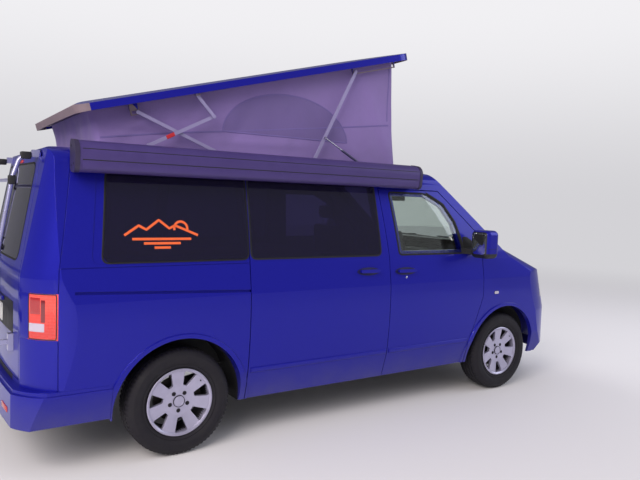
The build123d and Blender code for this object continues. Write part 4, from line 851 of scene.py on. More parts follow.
def dress(nodes: Iterable[str], finish: Finish,
          inner: Finish | None = None, faces_in: Callable[[Vector, Vector], bool] | None = None) -> None:
    """Give CAD nodes their finish.

    Args:
        nodes: the nodes' names.
        finish: the finish of the whole node, or of what inner leaves.
        inner: a second finish.
        faces_in: says from a face's middle and normal whether it takes the second finish.
    """
    for name in nodes:
        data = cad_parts[name].data
        data.materials.clear()
        data.materials.append(finish.material())
        if inner is not None and faces_in is not None:
            data.materials.append(inner.material())
            for face in data.polygons:
                face.material_index = int(faces_in(face.center, face.normal))
        else:
            data.polygons.foreach_set("material_index", [0] * len(data.polygons))
        LOG.info("%s: %s", name, finish.name)


@dataclass
class Studio:
    """Camera at the photograph's viewpoint, a pale floor and soft light."""

    eye: Triple = (-2.902, -4.527, 1.636)
    yaw: float = 33.73
    pitch: float = -3.658
    roll: float = 1.867
    focal_px: float = 613.5
    picture_width: int = 640
    floor_size: float = 60.0
    fill: float = 0.78
    mirrored: float = 0.28
    horizon: str = "#d3d2d6"
    backdrop: str = "#f1f0f3"
    backdrop_height: float = 0.3
    lamp_size: float = 5.0
    # Each lamp has a name, a place, a point that it faces, a power in watts and a tint.
    lamps: tuple[tuple[str, Triple, Triple, float, str], ...] = (
        ("key", (-7.0, -4.8, 5.6), (-1.2, 0.0, 1.5), 680.0, "#fff6f0"),
        ("fill", (7.5, -4.0, 4.5), (0.8, 0.0, 1.2), 190.0, "#eef2ff"),
        ("back", (0.0, 7.0, 5.5), (0.0, 0.0, 1.4), 300.0, "#ffffff"))

    def camera(self) -> None:
        """Place the camera."""
        data = bpy.data.cameras.new("camera")
        data.sensor_width = 36.0
        data.lens = data.sensor_width * self.focal_px / self.picture_width
        item = bpy.data.objects.new("camera", data)
        bpy.context.scene.collection.objects.link(item)
        yaw, pitch, roll = (math.radians(a) for a in (self.yaw, self.pitch, self.roll))
        ahead = Vector((math.sin(yaw) * math.cos(pitch), math.cos(yaw) * math.cos(pitch), math.sin(pitch)))
        level = Vector((math.cos(yaw), -math.sin(yaw), 0.0))
        up = level.cross(ahead)
        right = level * math.cos(roll) + up * math.sin(roll)
        up = up * math.cos(roll) - level * math.sin(roll)
        turn = Matrix((right, up, -ahead)).transposed().to_4x4()
        item.matrix_world = Matrix.Translation(Vector(self.eye) + Vector((MID_X, 0, 0))) @ turn
        bpy.context.scene.camera = item

    def floor(self) -> None:
        """Lay the floor, which runs into the backdrop."""
        half = self.floor_size / 2
        form = Form().grid([[Vector((x, y, 0.0)) for x in (-half, half)] for y in (-half, half)])
        data = bpy.data.meshes.new("floor")
        form.mesh.to_mesh(data)
        form.mesh.free()
        item = bpy.data.objects.new("floor", data)
        bpy.context.scene.collection.objects.link(item)
        paint = StudioFloor("Painted studio floor", "#dddbdd", 0.75, glow=self.horizon)
        data.materials.append(paint.material())

    def light(self) -> None:
        """Hang the soft lamps; the one at the back would streak the roof if the paint mirrored it."""
        for name, place, aim, power, tint in self.lamps:
            data = bpy.data.lights.new(name, "AREA")
            data.shape = "SQUARE"
            data.size = self.lamp_size
            data.energy = power
            data.color = linear(tint)[:3]
            item = bpy.data.objects.new(name, data)
            item.location = place
            item.rotation_mode = "QUATERNION"
            item.rotation_quaternion = (Vector(aim) - Vector(place)).to_track_quat("-Z", "Y")
            item.visible_glossy = name != "back"
            bpy.context.scene.collection.objects.link(item)

    def surroundings(self) -> None:
        """Set the world: an even fill, dimmer in mirrored rays, behind which the backdrop is pale."""
        world = bpy.data.worlds.new("studio")
        bpy.context.scene.world = world
        world.use_nodes = True
        tree = world.node_tree
        tree.nodes.clear()
        path = add_node(tree, "LightPath")
        seen = add_node(tree, "Math", {"operation": "MAXIMUM"},
                        {0: path.outputs["Is Camera Ray"], 1: path.outputs["Is Transmission Ray"]})
        up = add_node(tree, "SeparateXYZ", links={"Vector": add_node(tree, "TexCoord").outputs["Generated"]})
        sky = add_node(tree, "ValToRGB", links={"Fac": up.outputs["Z"]})
        sky.color_ramp.interpolation = "EASE"
        tones = ((0.0, self.horizon), (self.backdrop_height, self.backdrop))
        for stop, (place, colour) in zip(sky.color_ramp.elements, tones):
            stop.position = place
            stop.color = linear(colour)
        level = add_node(tree, "MapRange", links={"Value": path.outputs["Is Glossy Ray"]},
                         values={"To Min": self.fill, "To Max": self.mirrored})
        soft = add_node(tree, "Background", links={"Strength": level.outputs["Result"]},
                        values={"Color": linear("#e9e8ee")})
        pale = add_node(tree, "Background", links={"Color": sky.outputs["Color"]}, values={"Strength": 1.0})
        mixed = add_node(tree, "MixShader", links={0: seen.outputs["Value"], 1: soft.outputs["Background"],
                                                   2: pale.outputs["Background"]})
        add_node(tree, "OutputWorld", links={"Surface": mixed.outputs["Shader"]})

    def build(self) -> None:
        """Set up camera, floor, lamps and world."""
        self.camera()
        self.floor()
        self.light()
        self.surroundings()
        bpy.context.scene.view_settings.view_transform = "Standard"


@dataclass
class Bodywork:
    """Painted panels with their linings, and the small pieces of the front and sides."""

    trim_turn: float = 0.5
    handle: Pair = (0.108, 0.030)
    # Node, body, side, and the x and z of the handle's middle.
    handle_spots: tuple[tuple[str, str, Side, float, float], ...] = (
        ("door_right", "door_right", Side.RIGHT, 0.312, 1.114),
        ("door_left", "door_left", Side.LEFT, 0.312, 1.114),
        ("sliding_door", "body", Side.RIGHT, -0.055, 1.124))
    # The wall is met from inside the handle's grip, so that the ray misses the grip.
    wall_start: float = 0.9495
    liner_radius: float = 0.4165
    liner_y: Pair = (0.642, 0.868)
    liner_foot_z: float = 0.50
    liner_foot_y: float = 0.56
    rib_z: float = 0.492
    rib_width: float = 0.036
    # Node, body, side, and the x where the rib starts and ends.
    rib_runs: tuple[tuple[str, str, Side, float, float], ...] = (
        ("door_right", "door_right", Side.RIGHT, 0.174, 1.030),
        ("sliding_door", "body", Side.RIGHT, -1.022, 0.144),
        ("door_left", "door_left", Side.LEFT, 0.174, 1.030),
        ("body_sides", "body", Side.LEFT, -1.040, 0.144))
    repeater: Pair = (1.362, 0.885)
    plate: Pair = (0.52, 0.11)
    fog_lamp: Pair = (0.56, 0.455)
    mesh_pitch: float = 0.021
    mesh_bars: int = 22
    # Openings of the nose: foot, head, height at which its face is met, depth behind it, half width.
    openings: tuple[tuple[float, ...], ...] = ((0.730, 0.930, 0.70, 0.030, 1.0),
                                               (0.434, 0.534, 0.56, 0.036, 0.39))
    # The y, z and radius of each reflector, on the left side.
    bowls: tuple[Triple, ...] = ((0.600, 0.880, 0.062), (0.722, 0.884, 0.050), (0.800, 0.890, 0.024))
    # The y where each blade starts and ends, and that of its pivot.
    wiper_runs: tuple[Triple, ...] = ((-0.60, -0.06, -0.02), (-0.03, 0.56, 0.60))

    def panels(self) -> None:
        """Paint the outside of each panel and line its inside."""
        def sideways(middle: Vector, normal: Vector) -> bool:
            """Whether a face of the side looks into the cabin."""
            return normal.y * math.copysign(1.0, middle.y) < -self.trim_turn

        dress(["body_sides", "door_right", "door_left", "sliding_door"], BODY_PAINT, LINING, sideways)
        dress(["roof_panel"], BODY_PAINT, LINING, lambda middle, normal: normal.z < -self.trim_turn)
        dress(["tailgate"], BODY_PAINT, TRIM_PLASTIC, lambda middle, normal: normal.x > self.trim_turn)
        dress(["bonnet", "front_bumper", "front_wings", "rear_bumper"], BODY_PAINT)
        dress(["cowl", "grille", "tail_panel", "front_liners"], TRIM_PLASTIC)
        dress(["firewall", "fuel_tank", "front_suspension", "rear_axle"], CHASSIS)
        dress(["floor_pan"], CHASSIS, FLOOR_VINYL, lambda middle, normal: normal.z > self.trim_turn)
        dress(["knuckle_right", "knuckle_left", "engine_block"], CAST_IRON)
        dress(["exhaust"], STEEL_PIPE)

    def liners(self) -> None:
        """Close the foot of each rear wheel arch with a moulded liner."""
        form = Form()
        hub = centre("tyre_rear_right")
        rows = []
        for x, z in arc((hub.x, hub.z), (self.liner_radius, self.liner_radius), -8, 188, 60):
            point = Vector((x, 0.0, z))
            inward = (Vector((hub.x, 0.0, hub.z)) - point).normalized() * 0.002
            near = self.liner_y[0] if z > self.liner_foot_z else self.liner_foot_y
            rows.append([point + shift + Vector((0, -y, 0)) for y, shift in (
                (near, Vector()), (self.liner_y[1], Vector()), (self.liner_y[1], inward), (near, inward))])
        form.grid(rows, ring=True, caps=True).mirror()
        form.piece("rear_wheel_liners", TRIM_PLASTIC, "body", "black_plastic")

    def handles(self) -> None:
        """Set a near black pad of painted shade behind each handle, and a lock cap under the front ones."""
        for node, body, side, x, z in self.handle_spots:
            skin = Skin.of_nodes(node)
            hollow = arc((x + MID_X, z - 0.004), self.handle, 0, 345, 23)
            # The pad is painted shade: a near black sheet of paint where the handle's hollow lies in shade.
            form = Form().pad([skin.beside(a, b, side, self.wall_start) for a, b in hollow], 0.0012)
            form.piece(f"handle_hollow_{node}", HANDLE_PAINTED_SHADE, body, "body_paint")
            if node != "sliding_door":
                lock = disc((x + MID_X + 0.004, z - 0.052), 0.0085, 20)
                cap = Form().pad([skin.beside(a, b, side) for a, b in lock], 0.002)
                cap.piece(f"lock_cap_{node}", CHROME, body, "rack_silver")

    def ribs(self) -> None:
        """Run the pressed rib along the foot of the doors and the side between the wheels."""
        for node, body, side, start, end in self.rib_runs:
            run = [(x, self.rib_z) for x, _ in between([(start, 0.0), (end, 0.0)], 0.04)]
            rib = Form().strip(Skin.of_nodes(node).along(run, side), self.rib_width, 0.0065, 0.002)
            rib.piece(f"lower_rib_{node}", BODY_PAINT, body, "body_paint", 60.0)

    def repeaters(self) -> None:
        """Set the small side lamps into the front wings."""
        skin = Skin.of_nodes("front_wings")
        lens = Form()
        gasket = Form()
        middle = (self.repeater[0] + MID_X, self.repeater[1])
        for side in Side:
            lens.pad([skin.beside(a, b, side) for a, b in panel(middle, 0.050, 0.024, 0.010)], 0.006,
                     shoulder=0.003)
            gasket.pad([skin.beside(a, b, side) for a, b in panel(middle, 0.056, 0.030, 0.012)], 0.0018)
        lens.piece("side_repeaters", PALE_LENS, "body", "lamp_clear")
        gasket.piece("repeater_gaskets", RUBBER_SEAL, "body", "black_plastic")

    def front(self) -> None:
        """Fit mesh, fog lamps and the blank plate to the nose."""
        skin = Skin.of_nodes("front_bumper", "grille")
        plate = Form().pad(skin.nose(panel((0.0, 0.615), *self.plate, 0.008)), 0.004)
        plate.piece("front_plate", BLANK_PLATE, "body", "rack_silver")
        ring = Form()
        lens = Form()
        for sign in (-1, 1):
            spot = (sign * self.fog_lamp[0], self.fog_lamp[1])
            lens.pad(skin.nose(disc(spot, 0.046)), 0.007, shoulder=0.004)
            ring.pad(skin.nose(disc(spot, 0.060)), 0.003)
        ring.piece("fog_lamp_bezels", TRIM_PLASTIC, "body", "black_plastic")
        lens.piece("fog_lamps", PALE_LENS, "body", "lamp_clear")
        mesh = Form()
        for index in range(-self.mesh_bars, self.mesh_bars + 1):
            y = index * self.mesh_pitch
            for foot, head, eye, back, half in self.openings:
                if abs(y) <= half:
                    x = skin.ahead(y, eye)[0].x - back
                    mesh.block(Vector((x - 0.012, y - 0.002, foot)), Vector((x, y + 0.002, head)))
        mesh.piece("front_mesh", TRIM_PLASTIC, "body", "black_plastic")

    def headlamps(self) -> None:
        """Put reflectors, bulbs and a dark case behind the clear lenses."""
        dress(["headlamps"], CLEAR_LENS)
        skin = Skin.of_nodes("headlamps")
        bowls = Form()
        case = Form()
        glow = Form()
        way = Vector((1, 0, 0))
        bulb = [(0.0, 0.004), (0.005, 0.002), (0.007, -0.006), (0.006, -0.040)]
        for y, z, radius in self.bowls:
            hub = Vector((skin.ahead(-y, z)[0].x - 0.056, -y, z))
            profile = [(radius, 0.004), (radius, 0.0), (radius * 0.86, -0.016), (radius * 0.6, -0.034),
                       (radius * 0.25, -0.044), (0.004, -0.046)]
            bowls.lathe(profile, hub, way, 40)
            glow.lathe(bulb, hub, way, 16)
            rim = [(radius + 0.007, 0.0), (radius + 0.007, 0.007), (radius + 0.001, 0.008),
                   (radius + 0.001, -0.004)]
            case.lathe(rim, hub, way, 40)
        for part in (bowls, case, glow):
            part.mirror()
        bowls.piece("headlamp_bowls", CHROME, "body", "lamp_clear")
        case.piece("headlamp_rings", GLOSS_PLASTIC, "body", "black_plastic")
        glow.piece("headlamp_bulbs", PALE_LENS, "body", "lamp_clear")

    def wipers(self) -> None:
        """Lay two wipers on the windscreen."""
        skin = Skin.of_nodes("windscreen", "cowl")
        blades = Form()
        arms = Form()
        for start, end, pivot in self.wiper_runs:
            run = [(start + (end - start) * i / 14, 1.300 + 0.020 * i / 14) for i in range(15)]
            blades.strip(skin.nose(run), 0.009, 0.012, -0.002)
            foot, up = skin.ahead(pivot, 1.288)
            middle, normal = skin.ahead((start + end) / 2, 1.312)
            path = [foot + up * 0.004, foot + up * 0.020, middle + normal * 0.022, middle + normal * 0.013]
            arms.tube([path[0] + (path[1] - path[0]) * i / 3 for i in range(3)]
                      + [path[1] + (path[2] - path[1]) * i / 8 for i in range(9)] + [path[3]], 0.0055)
            arms.tube([foot - up * 0.001, foot + up * 0.026], 0.014, 20)
        blades.piece("wiper_blades", RUBBER_SEAL, "body", "black_plastic")
        arms.piece("wiper_arms", TRIM_PLASTIC, "body", "black_plastic")

    def build(self) -> None:
        """Dress the panels and fit their small pieces."""
        self.panels()
        self.liners()
        self.handles()
        self.ribs()
        self.repeaters()
        self.front()
        self.headlamps()
        self.wipers()


@dataclass
class Tail:
    """Lamps, plate, handle, wiper and rack clamps at the rear.

    The lamps wrap round an upright line, and are measured by the angle about it in degrees.
    """

    middle: Pair = (-2.05, -0.55)
    start: float = 219.0
    span: float = 24.6
    cover: tuple[Pair, Pair] = ((205.5, 218.6), (0.8086, 1.0694))
    # Name, finish, range of the width, range of the height, lift, slot.
    lamp_parts: tuple[tuple[str, Finish, Pair, Pair, float, str], ...] = (
        ("tail_lamp_cells", LAMP_DEEP, (0.05, 0.45), (0.952, 1.048), 0.0012, "lamp_red"),
        ("tail_lamp_ribs", LAMP_SHADE, (0.47, 0.62), (0.906, 1.036), 0.0010, "lamp_red"),
        ("tail_lamp_bands", PALE_LENS, (0.0, 0.60), (0.853, 0.902), 0.0014, "lamp_clear"))
    recess: tuple[Pair, Pair] = ((-0.575, 0.575), (0.800, 0.990))
    plate: Pair = (0.52, 0.11)
    rack_y: float = 0.56
    rack_ends_y: float = 0.640

    def lamps(self) -> None:
        """Give the tail lamps their cells, pale band, gasket and the painted corner beside them."""
        hub = (self.middle[0] + MID_X, self.middle[1])

        def painted(middle: Vector, normal: Vector) -> bool:
            """Whether a face of the lens is an edge, or lies under the painted corner."""
            angle = math.degrees(math.atan2(-abs(middle.y) - hub[1], middle.x - hub[0])) % 360
            return abs(normal.z) > 0.6 or angle < self.start - 1.0

        # The lens's reds lighten upward into a painted highlight at its top.
        dress(["tail_lamps"], TAIL_BANDS_AND_HIGHLIGHT, BODY_PAINT, painted)
        skin = Skin.of_nodes("tail_lamps")

        def corner(angle: float, z: float) -> Spot:
            """Return the lens's surface at an angle and a height."""
            return skin.around(hub, angle, z)

        def place(u: float, z: float) -> Spot:
            """Return the lens's surface at a share of its width and a height."""
            return corner(self.start + self.span * u, z)

        for name, finish, u, v, lift, slot in self.lamp_parts:
            form = Form().film(place, u, v, (10, 6), lift, 0.06).mirror()
            form.piece(name, finish, "body", slot)
        edge = between(rounded([(0.0, 0.812), (0.985, 0.812), (0.985, 1.0665), (0.0, 1.0665)], 0.03), 0.05,
                       loop=True)
        gasket = Form().strip([place(u, z) for u, z in edge], 0.006, 0.0012, 0.001, loop=True).mirror()
        gasket.piece("tail_lamp_gaskets", LAMP_GASKET, "body", "lamp_red")
        cover = Form().film(corner, *self.cover, (10, 10), 0.0012, 0.01).mirror()
        cover.piece("tail_corner_panels", BODY_PAINT, "body", "body_paint")

    def gate(self) -> None:
        """Fit the plate recess, plate, handle, third lamp and wiper to the tailgate."""
        skin = Skin.of_nodes("tailgate", "tailgate_glass")
        recess = Form().film(skin.behind, *self.recess, (24, 4), 0.0015, 0.01)
        recess.piece("plate_recess", TRIM_PLASTIC, "tailgate", "black_plastic")
        plate = Form().pad(skin.back(panel((0.0, 0.876), *self.plate, 0.008)), 0.005)
        plate.piece("rear_plate", BLANK_PLATE, "tailgate", "rack_silver")
        bar = Form().pad(skin.back(panel((0.0, 0.970), 0.62, 0.026, 0.012)), 0.016, shoulder=0.006)
        bar.piece("tailgate_handle", BODY_PAINT, "tailgate", "body_paint")
        lamps = Form()
        for y in (-0.16, 0.16):
            lamps.pad(skin.back(panel((y, 0.948), 0.05, 0.012, 0.004)), 0.004)
        lamps.piece("plate_lamps", PALE_LENS, "tailgate", "lamp_clear")
        third = Form().pad(skin.back(panel((0.0, 1.826), 0.30, 0.020, 0.009)), 0.006, shoulder=0.003)
        third.piece("third_brake_lamp", RED_LENS, "tailgate", "lamp_red")
        blade = Form()
        arm = Form()
        path = skin.back([(0.42 - 0.034 * i, 1.275 + 0.004 * i) for i in range(14)])
        blade.strip(path, 0.008, 0.010, -0.002)
        foot, up = skin.behind(0.0, 1.262)
        tip, normal = path[6]
        arm.tube([foot + up * 0.002, foot + up * 0.016, tip + normal * 0.018, tip + normal * 0.012], 0.005)
        arm.tube([foot - up * 0.001, foot + up * 0.020], 0.016, 20)
        blade.piece("rear_wiper_blade", RUBBER_SEAL, "tailgate", "black_plastic")
        arm.piece("rear_wiper_arm", TRIM_PLASTIC, "tailgate", "black_plastic")

    def reflectors(self) -> None:
        """Set red reflectors low in the rear bumper."""
        skin = Skin.of_nodes("rear_bumper")
        form = Form()
        for y in (-0.62, 0.62):
            form.pad(skin.back(panel((y, 0.385), 0.15, 0.032, 0.008)), 0.003)
        form.piece("rear_reflectors", RED_LENS, "body", "lamp_red")

    def clamps(self) -> None:
        """Fix the rack with dark clamps, and close the ends of its wheel rails."""
        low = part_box("bike_rack")[0]
        tube = Skin.of_nodes("bike_rack")
        form = Form()
        half = Vector((0.020, 0.020, 0.026))
        for side in (-1, 1):
            for z in (1.70, 1.17, 0.76):
                middle = tube.behind(side * self.rack_y, z)[0] + Vector((0.013, 0, 0))
                form.block(middle - half, middle + half, 0.006)
            spot = tube.behind(side * self.rack_y, 1.845)[0]
            form.block(spot + Vector((-0.004, -0.026, -0.020)), spot + Vector((0.052, 0.026, 0.022)), 0.006)
        form.piece("rack_clamps", TRIM_PLASTIC, "tailgate", "black_plastic")
        ends = Form()
        for side in (-1, 1):
            for z in (0.86, 1.00):
                spot = Vector((low.x, side * self.rack_ends_y, z))
                ends.block(spot + Vector((0.030, -0.004, -0.001)),
                           spot + Vector((0.078, 0.004, 0.061)), 0.003)
        ends.piece("rack_end_caps", TRIM_PLASTIC, "tailgate", "black_plastic")

    def build(self) -> None:
        """Build the tail."""
        self.lamps()
        self.gate()
        self.reflectors()
        self.clamps()


@dataclass
class Glazing:
    """Windows with their frames, and the cut vinyl on the rear side glass."""

    decal_middle: Pair = (-1.63, 1.425)
    decal_width: float = 0.46
    line: float = 0.015
    quarter: tuple[Pair, ...] = ((-1.985, 1.240), (-1.945, 1.772), (-1.053, 1.772), (-1.053, 1.240))
    middle: tuple[Pair, ...] = ((-1.027, 1.240), (-1.027, 1.772), (0.045, 1.772), (0.072, 1.240))
    front: tuple[Pair, ...] = ((0.262, 1.240), (0.197, 1.716), (0.575, 1.716), (0.752, 1.632),
                               (0.868, 1.490), (0.928, 1.344), (0.958, 1.240))
    nose: tuple[Pair, ...] = ((0.590, 1.722), (0.768, 1.636), (0.884, 1.492), (0.944, 1.346), (0.974, 1.242))
    sail: tuple[Pair, ...] = ((0.972, 1.236), (1.140, 1.236), (1.142, 1.300), (1.010, 1.372), (0.962, 1.372))
    screen: tuple[Pair, ...] = ((-0.745, 1.272), (0.745, 1.272), (0.658, 1.842), (-0.658, 1.842))
    back: tuple[Pair, ...] = ((-0.597, 1.233), (0.597, 1.233), (0.553, 1.807), (-0.553, 1.807))

    def glass(self) -> None:
        """Give each pane its tint."""
        dress(["side_windows", "tailgate_glass"], PRIVACY_GLASS_WITH_PAINTED_SKY)
        dress(["windscreen", "door_glass_right", "door_glass_left"], CLEAR_GLASS)

    def decal(self) -> None:
        """Cut a plain ridge of hills under a low sun."""
        skin = Skin.of_nodes("side_windows")
        cx, cz = self.decal_middle[0] + MID_X, self.decal_middle[1]
        half = self.decal_width / 2
        ridge = [(-half, -0.03), (-half * 0.62, 0.028), (-half * 0.42, 0.004), (-half * 0.08, 0.062),
                 (half * 0.2, 0.012), (half * 0.36, 0.03), (half, -0.03)]
        lines = [between(ridge, 0.012), arc((half * 0.52, 0.012), (0.042, 0.042), -15, 195, 22),
                 between([(-half * 0.8, -0.052), (half * 0.8, -0.052)], 0.02),
                 between([(-half * 0.5, -0.078), (half * 0.5, -0.078)], 0.02),
                 between([(-half * 0.22, -0.104), (half * 0.22, -0.104)], 0.02)]
        form = Form()
        for path in lines:
            form.strip([skin.beside(cx + x, cz + z, Side.RIGHT) for x, z in path], self.line, 0.0012)
        form.piece("side_decal", DECAL_FILM, "body", "dark_glass")

    def seals(self) -> None:
        """Run rubber seals round the windows, and black trim round the front ones."""
        skin = Skin.of_nodes("body_sides", "side_windows", "sliding_door")
        form = Form()
        for side in Side:
            for corners in (self.quarter, self.middle):
                path = between(rounded(grown(corners, 0.005), 0.045), 0.03, loop=True)
                form.strip(skin.along(path, side), 0.012, 0.0016, 0.001, loop=True)
        form.piece("side_window_seals", RUBBER_SEAL, "body", "black_plastic")
        for side in Side:
            door = f"door_{side.word}"
            skin = Skin.of_nodes(door, f"door_glass_{side.word}")
            path = between(rounded(grown(self.front, 0.004), 0.03), 0.02, loop=True)
            seal = Form().strip(skin.along(path, side), 0.014, 0.0020, 0.001, loop=True)
            seal.strip(skin.along(between(self.nose, 0.02), side), 0.026, 0.0024, 0.001)
            sail = between(rounded(self.sail, 0.012), 0.02, loop=True)
            seal.pad(skin.along(sail, side), 0.004)
            seal.piece(f"front_window_trim_{side.word}", RUBBER_SEAL, door, "black_plastic")
        skin = Skin.of_nodes("windscreen", "body_sides", "roof_panel", "cowl")
        path = between(rounded(self.screen, 0.055), 0.03, loop=True)
        screen = Form().strip(skin.nose(path), 0.014, 0.0016, 0.001, loop=True)
        screen.piece("windscreen_seal", RUBBER_SEAL, "body", "black_plastic")
        skin = Skin.of_nodes("tailgate", "tailgate_glass")
        path = between(rounded(self.back, 0.06), 0.03, loop=True)
        rear = Form().strip(skin.back(path), 0.012, 0.0016, 0.001, loop=True)
        rear.piece("tailgate_glass_seal", RUBBER_SEAL, "tailgate", "black_plastic")

    def build(self) -> None:
        """Fit glass, seals and vinyl."""
        self.glass()
        self.seals()
        self.decal()


@dataclass
class Wheel:
    """One road wheel: tyre, rim, bolts, cap and the brake seen through the spokes."""

    end: str
    side: Side
    blocks: int = 72
    groove: float = 0.0075
    groove_width: float = 0.009
    tread_half: float = 0.086
    bolt_ring: float = 0.060
    bolt_start: float = -92.0
    bolts: int = 5
    cup: float = 0.0145
    cap_face: float = 0.068
    barrel_depth: float = 0.040
    # The valve runs from its seat to its tip, each given by its distance outward and its radius.
    valve: tuple[Pair, Pair] = ((0.052, 0.190), (0.084, 0.181))
    valve_turn: float = 133.0
    disc_profile: tuple[Pair, ...] = ((0.056, 0.009), (0.142, 0.009), (0.144, 0.007), (0.144, -0.005),
                                      (0.142, -0.007), (0.056, -0.007))
    disc_inset: float = 0.012
    calliper_radii: Pair = (0.166, 0.104)
    calliper_y: Pair = (-0.055, 0.013)

    @property
    def tag(self) -> str:
        """The wheel's place as the nodes spell it."""
        return f"{self.end}_{self.side.word}"

    @property
    def body(self) -> str:
        """The body that turns."""
        return f"wheel_{self.tag}"

    def profile(self) -> tuple[list[Pair], list[int]]:
        """Return the tyre's outer section and which shoulder each point belongs to.

        Returns:
            Pairs of radius and distance outward, and for each a mark: 0 plain, 1 or -1 a shoulder block.
        """
        low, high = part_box(f"tyre_{self.tag}")
        outer = (high.z - low.z) / 2
        half = (high.y - low.y) / 2
        tread = self.tread_half
        wall = [(0.2065, -0.077), (0.219, -0.081), (0.228, -0.0915), (0.236, -0.0965), (0.242, -0.0935),
                (0.258, -0.104), (0.272, -half), (0.291, -0.1045), (0.297, -0.1055), (0.303, -0.1025),
                (outer - 0.02, -0.0935)]
        points = list(wall)
        marks = [0] * len(wall)
        ribs = (-tread + 0.004, -0.052, -0.0185, 0.0185, 0.052, tread - 0.004)
        drop = (0.0065, 0.0008, 0.0, 0.0, 0.0008, 0.0065)
        for index, (start, end) in enumerate(zip(ribs, ribs[1:])):
            gap = self.groove_width / 2
            inner = start + (gap if index else 0.0)
            far = end - (gap if index < len(ribs) - 2 else 0.0)
            mark = 1 if index in (0, len(ribs) - 2) else 2
            if index:
                points.append((outer - drop[index] - self.groove, inner - 0.001))
                marks.append(0)
            points += [(outer - drop[index], inner), (outer - drop[index + 1], far)]
            marks += [mark, mark]
            if index < len(ribs) - 2:
                points.append((outer - drop[index + 1] - self.groove, far + 0.001))
                marks.append(0)
        points += [(radius, -along) for radius, along in reversed(wall)]
        marks += [0] * len(wall)
        return points, marks

    def tyre(self) -> Item:
        """Turn the tyre with its tread."""
        points, marks = self.profile()

        def cut(step: int, index: int) -> float:
            """How far the tread is cut away at a step and a profile point."""
            if marks[index] == 1:
                return -0.006 if step % 3 == 0 else 0.0
            return -0.003 if marks[index] == 2 and (step + 1) % 6 == 0 else 0.0

        hub = centre(f"tyre_{self.tag}")
        form = Form().lathe(points, hub, Vector((0, 1, 0)), self.blocks * 3, cut)
        made = form.piece(f"road_tyre_{self.tag}", TYRE_RUBBER, self.body, "tyre_rubber", 45.0)
        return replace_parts(made, f"tyre_{self.tag}")

    def fittings(self) -> None:
        """Add bolts on dark discs of painted shade over their cups, the plain cap, the valve, the brake disc
        and its calliper.
        """
        out = self.side.value
        hub = centre(f"tyre_{self.tag}")
        axis = Vector((0, out, 0))
        bolts = Form()
        cups = Form()
        skin = Skin.of_nodes(f"rim_{self.tag}")
        for index in range(self.bolts):
            angle = math.radians(self.bolt_start + index * 360 / self.bolts)
            spoke = Vector((math.cos(angle), 0, math.sin(angle)))
            edge = hub + spoke * (self.bolt_ring + self.cup + 0.001)
            face = skin.beside(edge.x, edge.z, self.side)[0]
            spot = Vector((hub.x, face.y, hub.z)) + spoke * self.bolt_ring
            # Each cup is covered by a dark disc: painted shade in the bolt's recess.
            cups.lathe([(0.0, 0.0006), (self.cup - 0.001, 0.0006), (self.cup, -0.002)], spot, axis, 32)
            bolts.lathe([(0.0, 0.0042), (0.0092, 0.0042), (0.0104, 0.0028), (0.0106, -0.002)], spot, axis, 6)
        cups.piece(f"bolt_cups_{self.tag}", RIM_DARK_AND_CUP_SHADE, self.body, "silver_rim")
        bolts.piece(f"wheel_bolts_{self.tag}", WHEEL_BOLT, self.body, "grey_casting")
        face = hub + axis * self.cap_face
        cap = Form().lathe([(0.0, 0.0012), (0.018, 0.001), (0.0245, 0.0004), (0.0255, -0.0008),
                            (0.027, -0.0008), (0.028, 0.0012), (0.0318, 0.0009), (0.0336, -0.0012),
                            (0.0341, -0.005)], face, axis, 48)
        cap.piece(f"centre_cap_{self.tag}", RIM_PAINT, self.body, "silver_rim")
        ring = Form().lathe([(0.0345, -0.002), (0.0350, 0.0006), (0.0378, 0.0006), (0.0386, -0.003)],
                            face, axis, 48)
        ring.piece(f"cap_ring_{self.tag}", WHEEL_BOLT, self.body, "grey_casting")
        angle = math.radians(self.bolt_start + self.valve_turn)
        spoke = Vector((math.cos(angle), 0, math.sin(angle)))
        stem = [hub + axis * away + spoke * radius for away, radius in self.valve]
        valve = Form().tube(stem, 0.0042, 12)
        valve.piece(f"valve_{self.tag}", RUBBER_SEAL, self.body, "black_plastic")
        brake = Form().lathe(self.disc_profile, hub - axis * self.disc_inset, axis, 64)
        brake.piece(f"brake_disc_{self.tag}", CAST_IRON, self.body, "grey_casting")
        front = self.end == "front"
        toward = 180.0 if front else 0.0
        outer, inner = self.calliper_radii
        outline = arc((hub.x, hub.z), (outer, outer), toward - 28, toward + 28, 12)
        outline += arc((hub.x, hub.z), (inner, inner), toward + 24, toward - 24, 10)
        near = hub.y + out * self.calliper_y[0]
        thick = self.calliper_y[1] - self.calliper_y[0]
        calliper = Form().prism([Vector((x, near, z)) for x, z in outline], axis * thick)
        carrier = f"knuckle_{self.side.word}" if front else "body"
        calliper.piece(f"brake_calliper_{self.tag}", CAST_IRON, carrier, "grey_casting", 30.0)

    def build(self) -> None:
        """Build one wheel."""
        self.tyre()
        hub = centre(f"tyre_{self.tag}")
        out = self.side.value

        def deep(middle: Vector, normal: Vector) -> bool:
            """Whether a face of the rim lies inside its barrel, behind the spokes."""
            away = math.hypot(middle.x - hub.x, middle.z - hub.z)
            return (middle.y - hub.y) * out < self.barrel_depth and away > 0.12 and normal.y * out < 0.5

        # Faces deep in the barrel, behind the spokes, take the darker grey.
        dress([f"rim_{self.tag}"], RIM_PAINT, RIM_DARK_AND_CUP_SHADE, deep)
        self.fittings()


